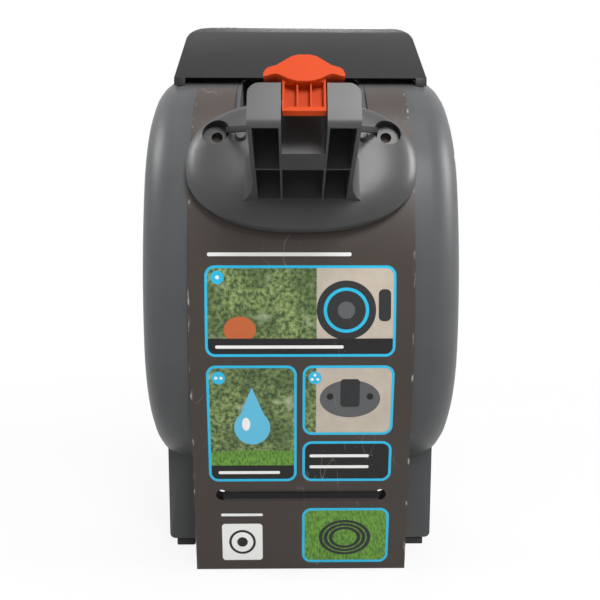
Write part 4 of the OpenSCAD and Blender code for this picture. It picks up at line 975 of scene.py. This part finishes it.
@dataclass
class HoseGuide(SubAssembly):
    """Level-wind guide and the end of the hose with its stop and connector; in millimetres."""

    slope_deg: float = 15.0
    lead_r: float = 141.5
    lead_l: float = 172.0
    lead_spans: int = 24
    hose_r: float = 7.5
    sides: int = 24

    def build(self) -> None:
        """Makes the straight end of the hose, from the drum to its stop."""
        slope = math.radians(self.slope_deg)
        start = Vector((0.0, self.lead_r * math.sin(slope), -self.lead_r * math.cos(slope)))
        ahead = Vector((0.0, math.cos(slope), math.sin(slope)))
        span = self.lead_l / self.lead_spans
        lead = bmesh.new()
        path = [start + ahead * (span * k) for k in range(self.lead_spans + 1)]
        add_tube(lead, path, self.hose_r, self.sides)
        new_hose("hose_lead", lead, "carriage", "hose_end")

    def dress(self) -> None:
        """Gives the guide's nodes their finishes."""
        dress("guide_screw", Paint.STEEL, CURVED)
        dress("guide_rod", Paint.STEEL, FINE)
        dress("guide_carriage", Paint.ORANGE)
        dress("hose_stop", Paint.ORANGE)
        dress("end_connector", Paint.TRIM)


@dataclass
class Front(SubAssembly):
    """Lid, latch, tray, outlet and water inlet."""

    lid_edges: Edges = Edges(0.5, 2, 28.0)

    def dress(self) -> None:
        """Gives the front's nodes their finishes."""
        dress("outlet_bezel", Paint.TEAL)
        dress("front_lid", Paint.COVER, self.lid_edges)
        dress("lid_pin", Paint.STEEL, FINE)
        dress("lid_latch", Paint.ORANGE)
        dress("accessory_tray", Paint.TRAY, FINE)
        dress("inlet_fitting", Paint.BRASS, FINE)
        dress("inlet_seals", Paint.RUBBER, PLAIN)


@dataclass(frozen=True)
class Lamp:
    """A round soft lamp: its place and width in metres, and its power in watts."""

    name: str
    place: Triple
    width: float
    power: float


@dataclass
class Studio:
    """Pale floor, white surround, soft lamps and the camera behind the box; in metres."""

    floor_half: float = 6.0
    floor_grey: Colour = (0.62, 0.62, 0.62)
    floor_white_near: float = 0.86
    floor_fade: Pair = (0.25, 1.30)
    world_light: float = 0.10
    aim: Triple = (0.0, 0.0, 0.26)
    camera_place: Triple = (-0.008, -0.7138, 0.266)
    lens_mm: float = 40.18
    sensor_mm: float = 36.0
    shift_up: float = -0.0533
    turn_deg: float = -0.70
    lamps: Tuple[Lamp, ...] = (
        Lamp("back_lamp", (0.30, -1.45, 1.25), 0.6, 23.0),
        Lamp("top_lamp", (0.10, -0.75, 1.90), 0.7, 10.0),
        Lamp("right_lamp", (1.40, -0.30, 0.95), 0.7, 22.0),
        Lamp("left_lamp", (-1.35, -0.30, 1.25), 0.7, 19.0),
        Lamp("front_lamp", (0.10, 1.60, 1.45), 1.0, 22.0))

    def floor(self) -> None:
        """Lays the floor, nearly white to the camera and still shaded under the box."""
        half = self.floor_half
        shape = bmesh.new()
        corners = ((-half, -half), (half, -half), (half, half), (-half, half))
        shape.faces.new([shape.verts.new((x, y, 0.0)) for x, y in corners])
        obj = link_mesh("studio_floor", shape)
        made = bpy.data.materials.new("pale_floor")
        made.use_nodes = True
        graph = Graph(made.node_tree)
        grey = graph.node("ShaderNodeBsdfDiffuse", None, {"Color": rgba(self.floor_grey)})
        white = graph.node("ShaderNodeEmission", None, {"Color": rgba(PURE_WHITE), "Strength": 1.0})
        x, y, _ = graph.axes(graph.place())
        far = (x * x + y * y).root().step(*self.floor_fade)
        shown = graph.seen() * (self.floor_white_near + (1 - self.floor_white_near) * far)
        both = graph.node("ShaderNodeMixShader", None, {0: shown, 1: grey, 2: white})
        graph.node("ShaderNodeOutputMaterial", None, {"Surface": both})
        obj.data.materials.append(made)

    def surround(self) -> None:
        """Makes the world white where it is seen and grey where it lights."""
        world = bpy.data.worlds.new("studio_world")
        bpy.context.scene.world = world
        world.use_nodes = True
        graph = Graph(world.node_tree)
        grey, white = (
            graph.node("ShaderNodeBackground", None, {"Color": rgba(PURE_WHITE), "Strength": power})
            for power in (self.world_light, 1.0))
        both = graph.node("ShaderNodeMixShader", None, {0: graph.seen(), 1: grey, 2: white})
        graph.node("ShaderNodeOutputWorld", None, {"Surface": both})

    def light(self) -> None:
        """Hangs the soft lamps, each turned to the box."""
        for lamp in self.lamps:
            data = bpy.data.lights.new(lamp.name, "AREA")
            data.shape, data.size, data.energy = "DISK", lamp.width, lamp.power
            obj = bpy.data.objects.new(lamp.name, data)
            obj.location = lamp.place
            towards = Vector(self.aim) - Vector(lamp.place)
            obj.rotation_euler = towards.to_track_quat("-Z", "Y").to_euler()
            bpy.context.scene.collection.objects.link(obj)

    def camera(self) -> None:
        """Sets the camera level behind the box."""
        data = bpy.data.cameras.new("photo_camera")
        data.lens, data.sensor_width, data.shift_y = self.lens_mm, self.sensor_mm, self.shift_up
        obj = bpy.data.objects.new("photo_camera", data)
        obj.location = self.camera_place
        obj.rotation_euler = (math.radians(90.0), 0.0, math.radians(self.turn_deg))
        bpy.context.scene.collection.objects.link(obj)
        bpy.context.scene.camera = obj

    def build(self) -> None:
        """Sets up the camera, floor, surround and lamps."""
        self.camera()
        self.floor()
        self.surround()
        self.light()
        bpy.context.scene.view_settings.view_transform = "Standard"


def main() -> None:
    """Builds and dresses the sub-assemblies in order."""
    logging.basicConfig(level=logging.INFO, format="%(name)s: %(message)s")
    Studio().build()
    for part in (Housing(), Handle(), Brackets(), Reel(), HoseGuide(), Front()):
        part.build()
        part.dress()
        LOG.info("finished %s", type(part).__name__)


if __name__ == "__main__":
    main()
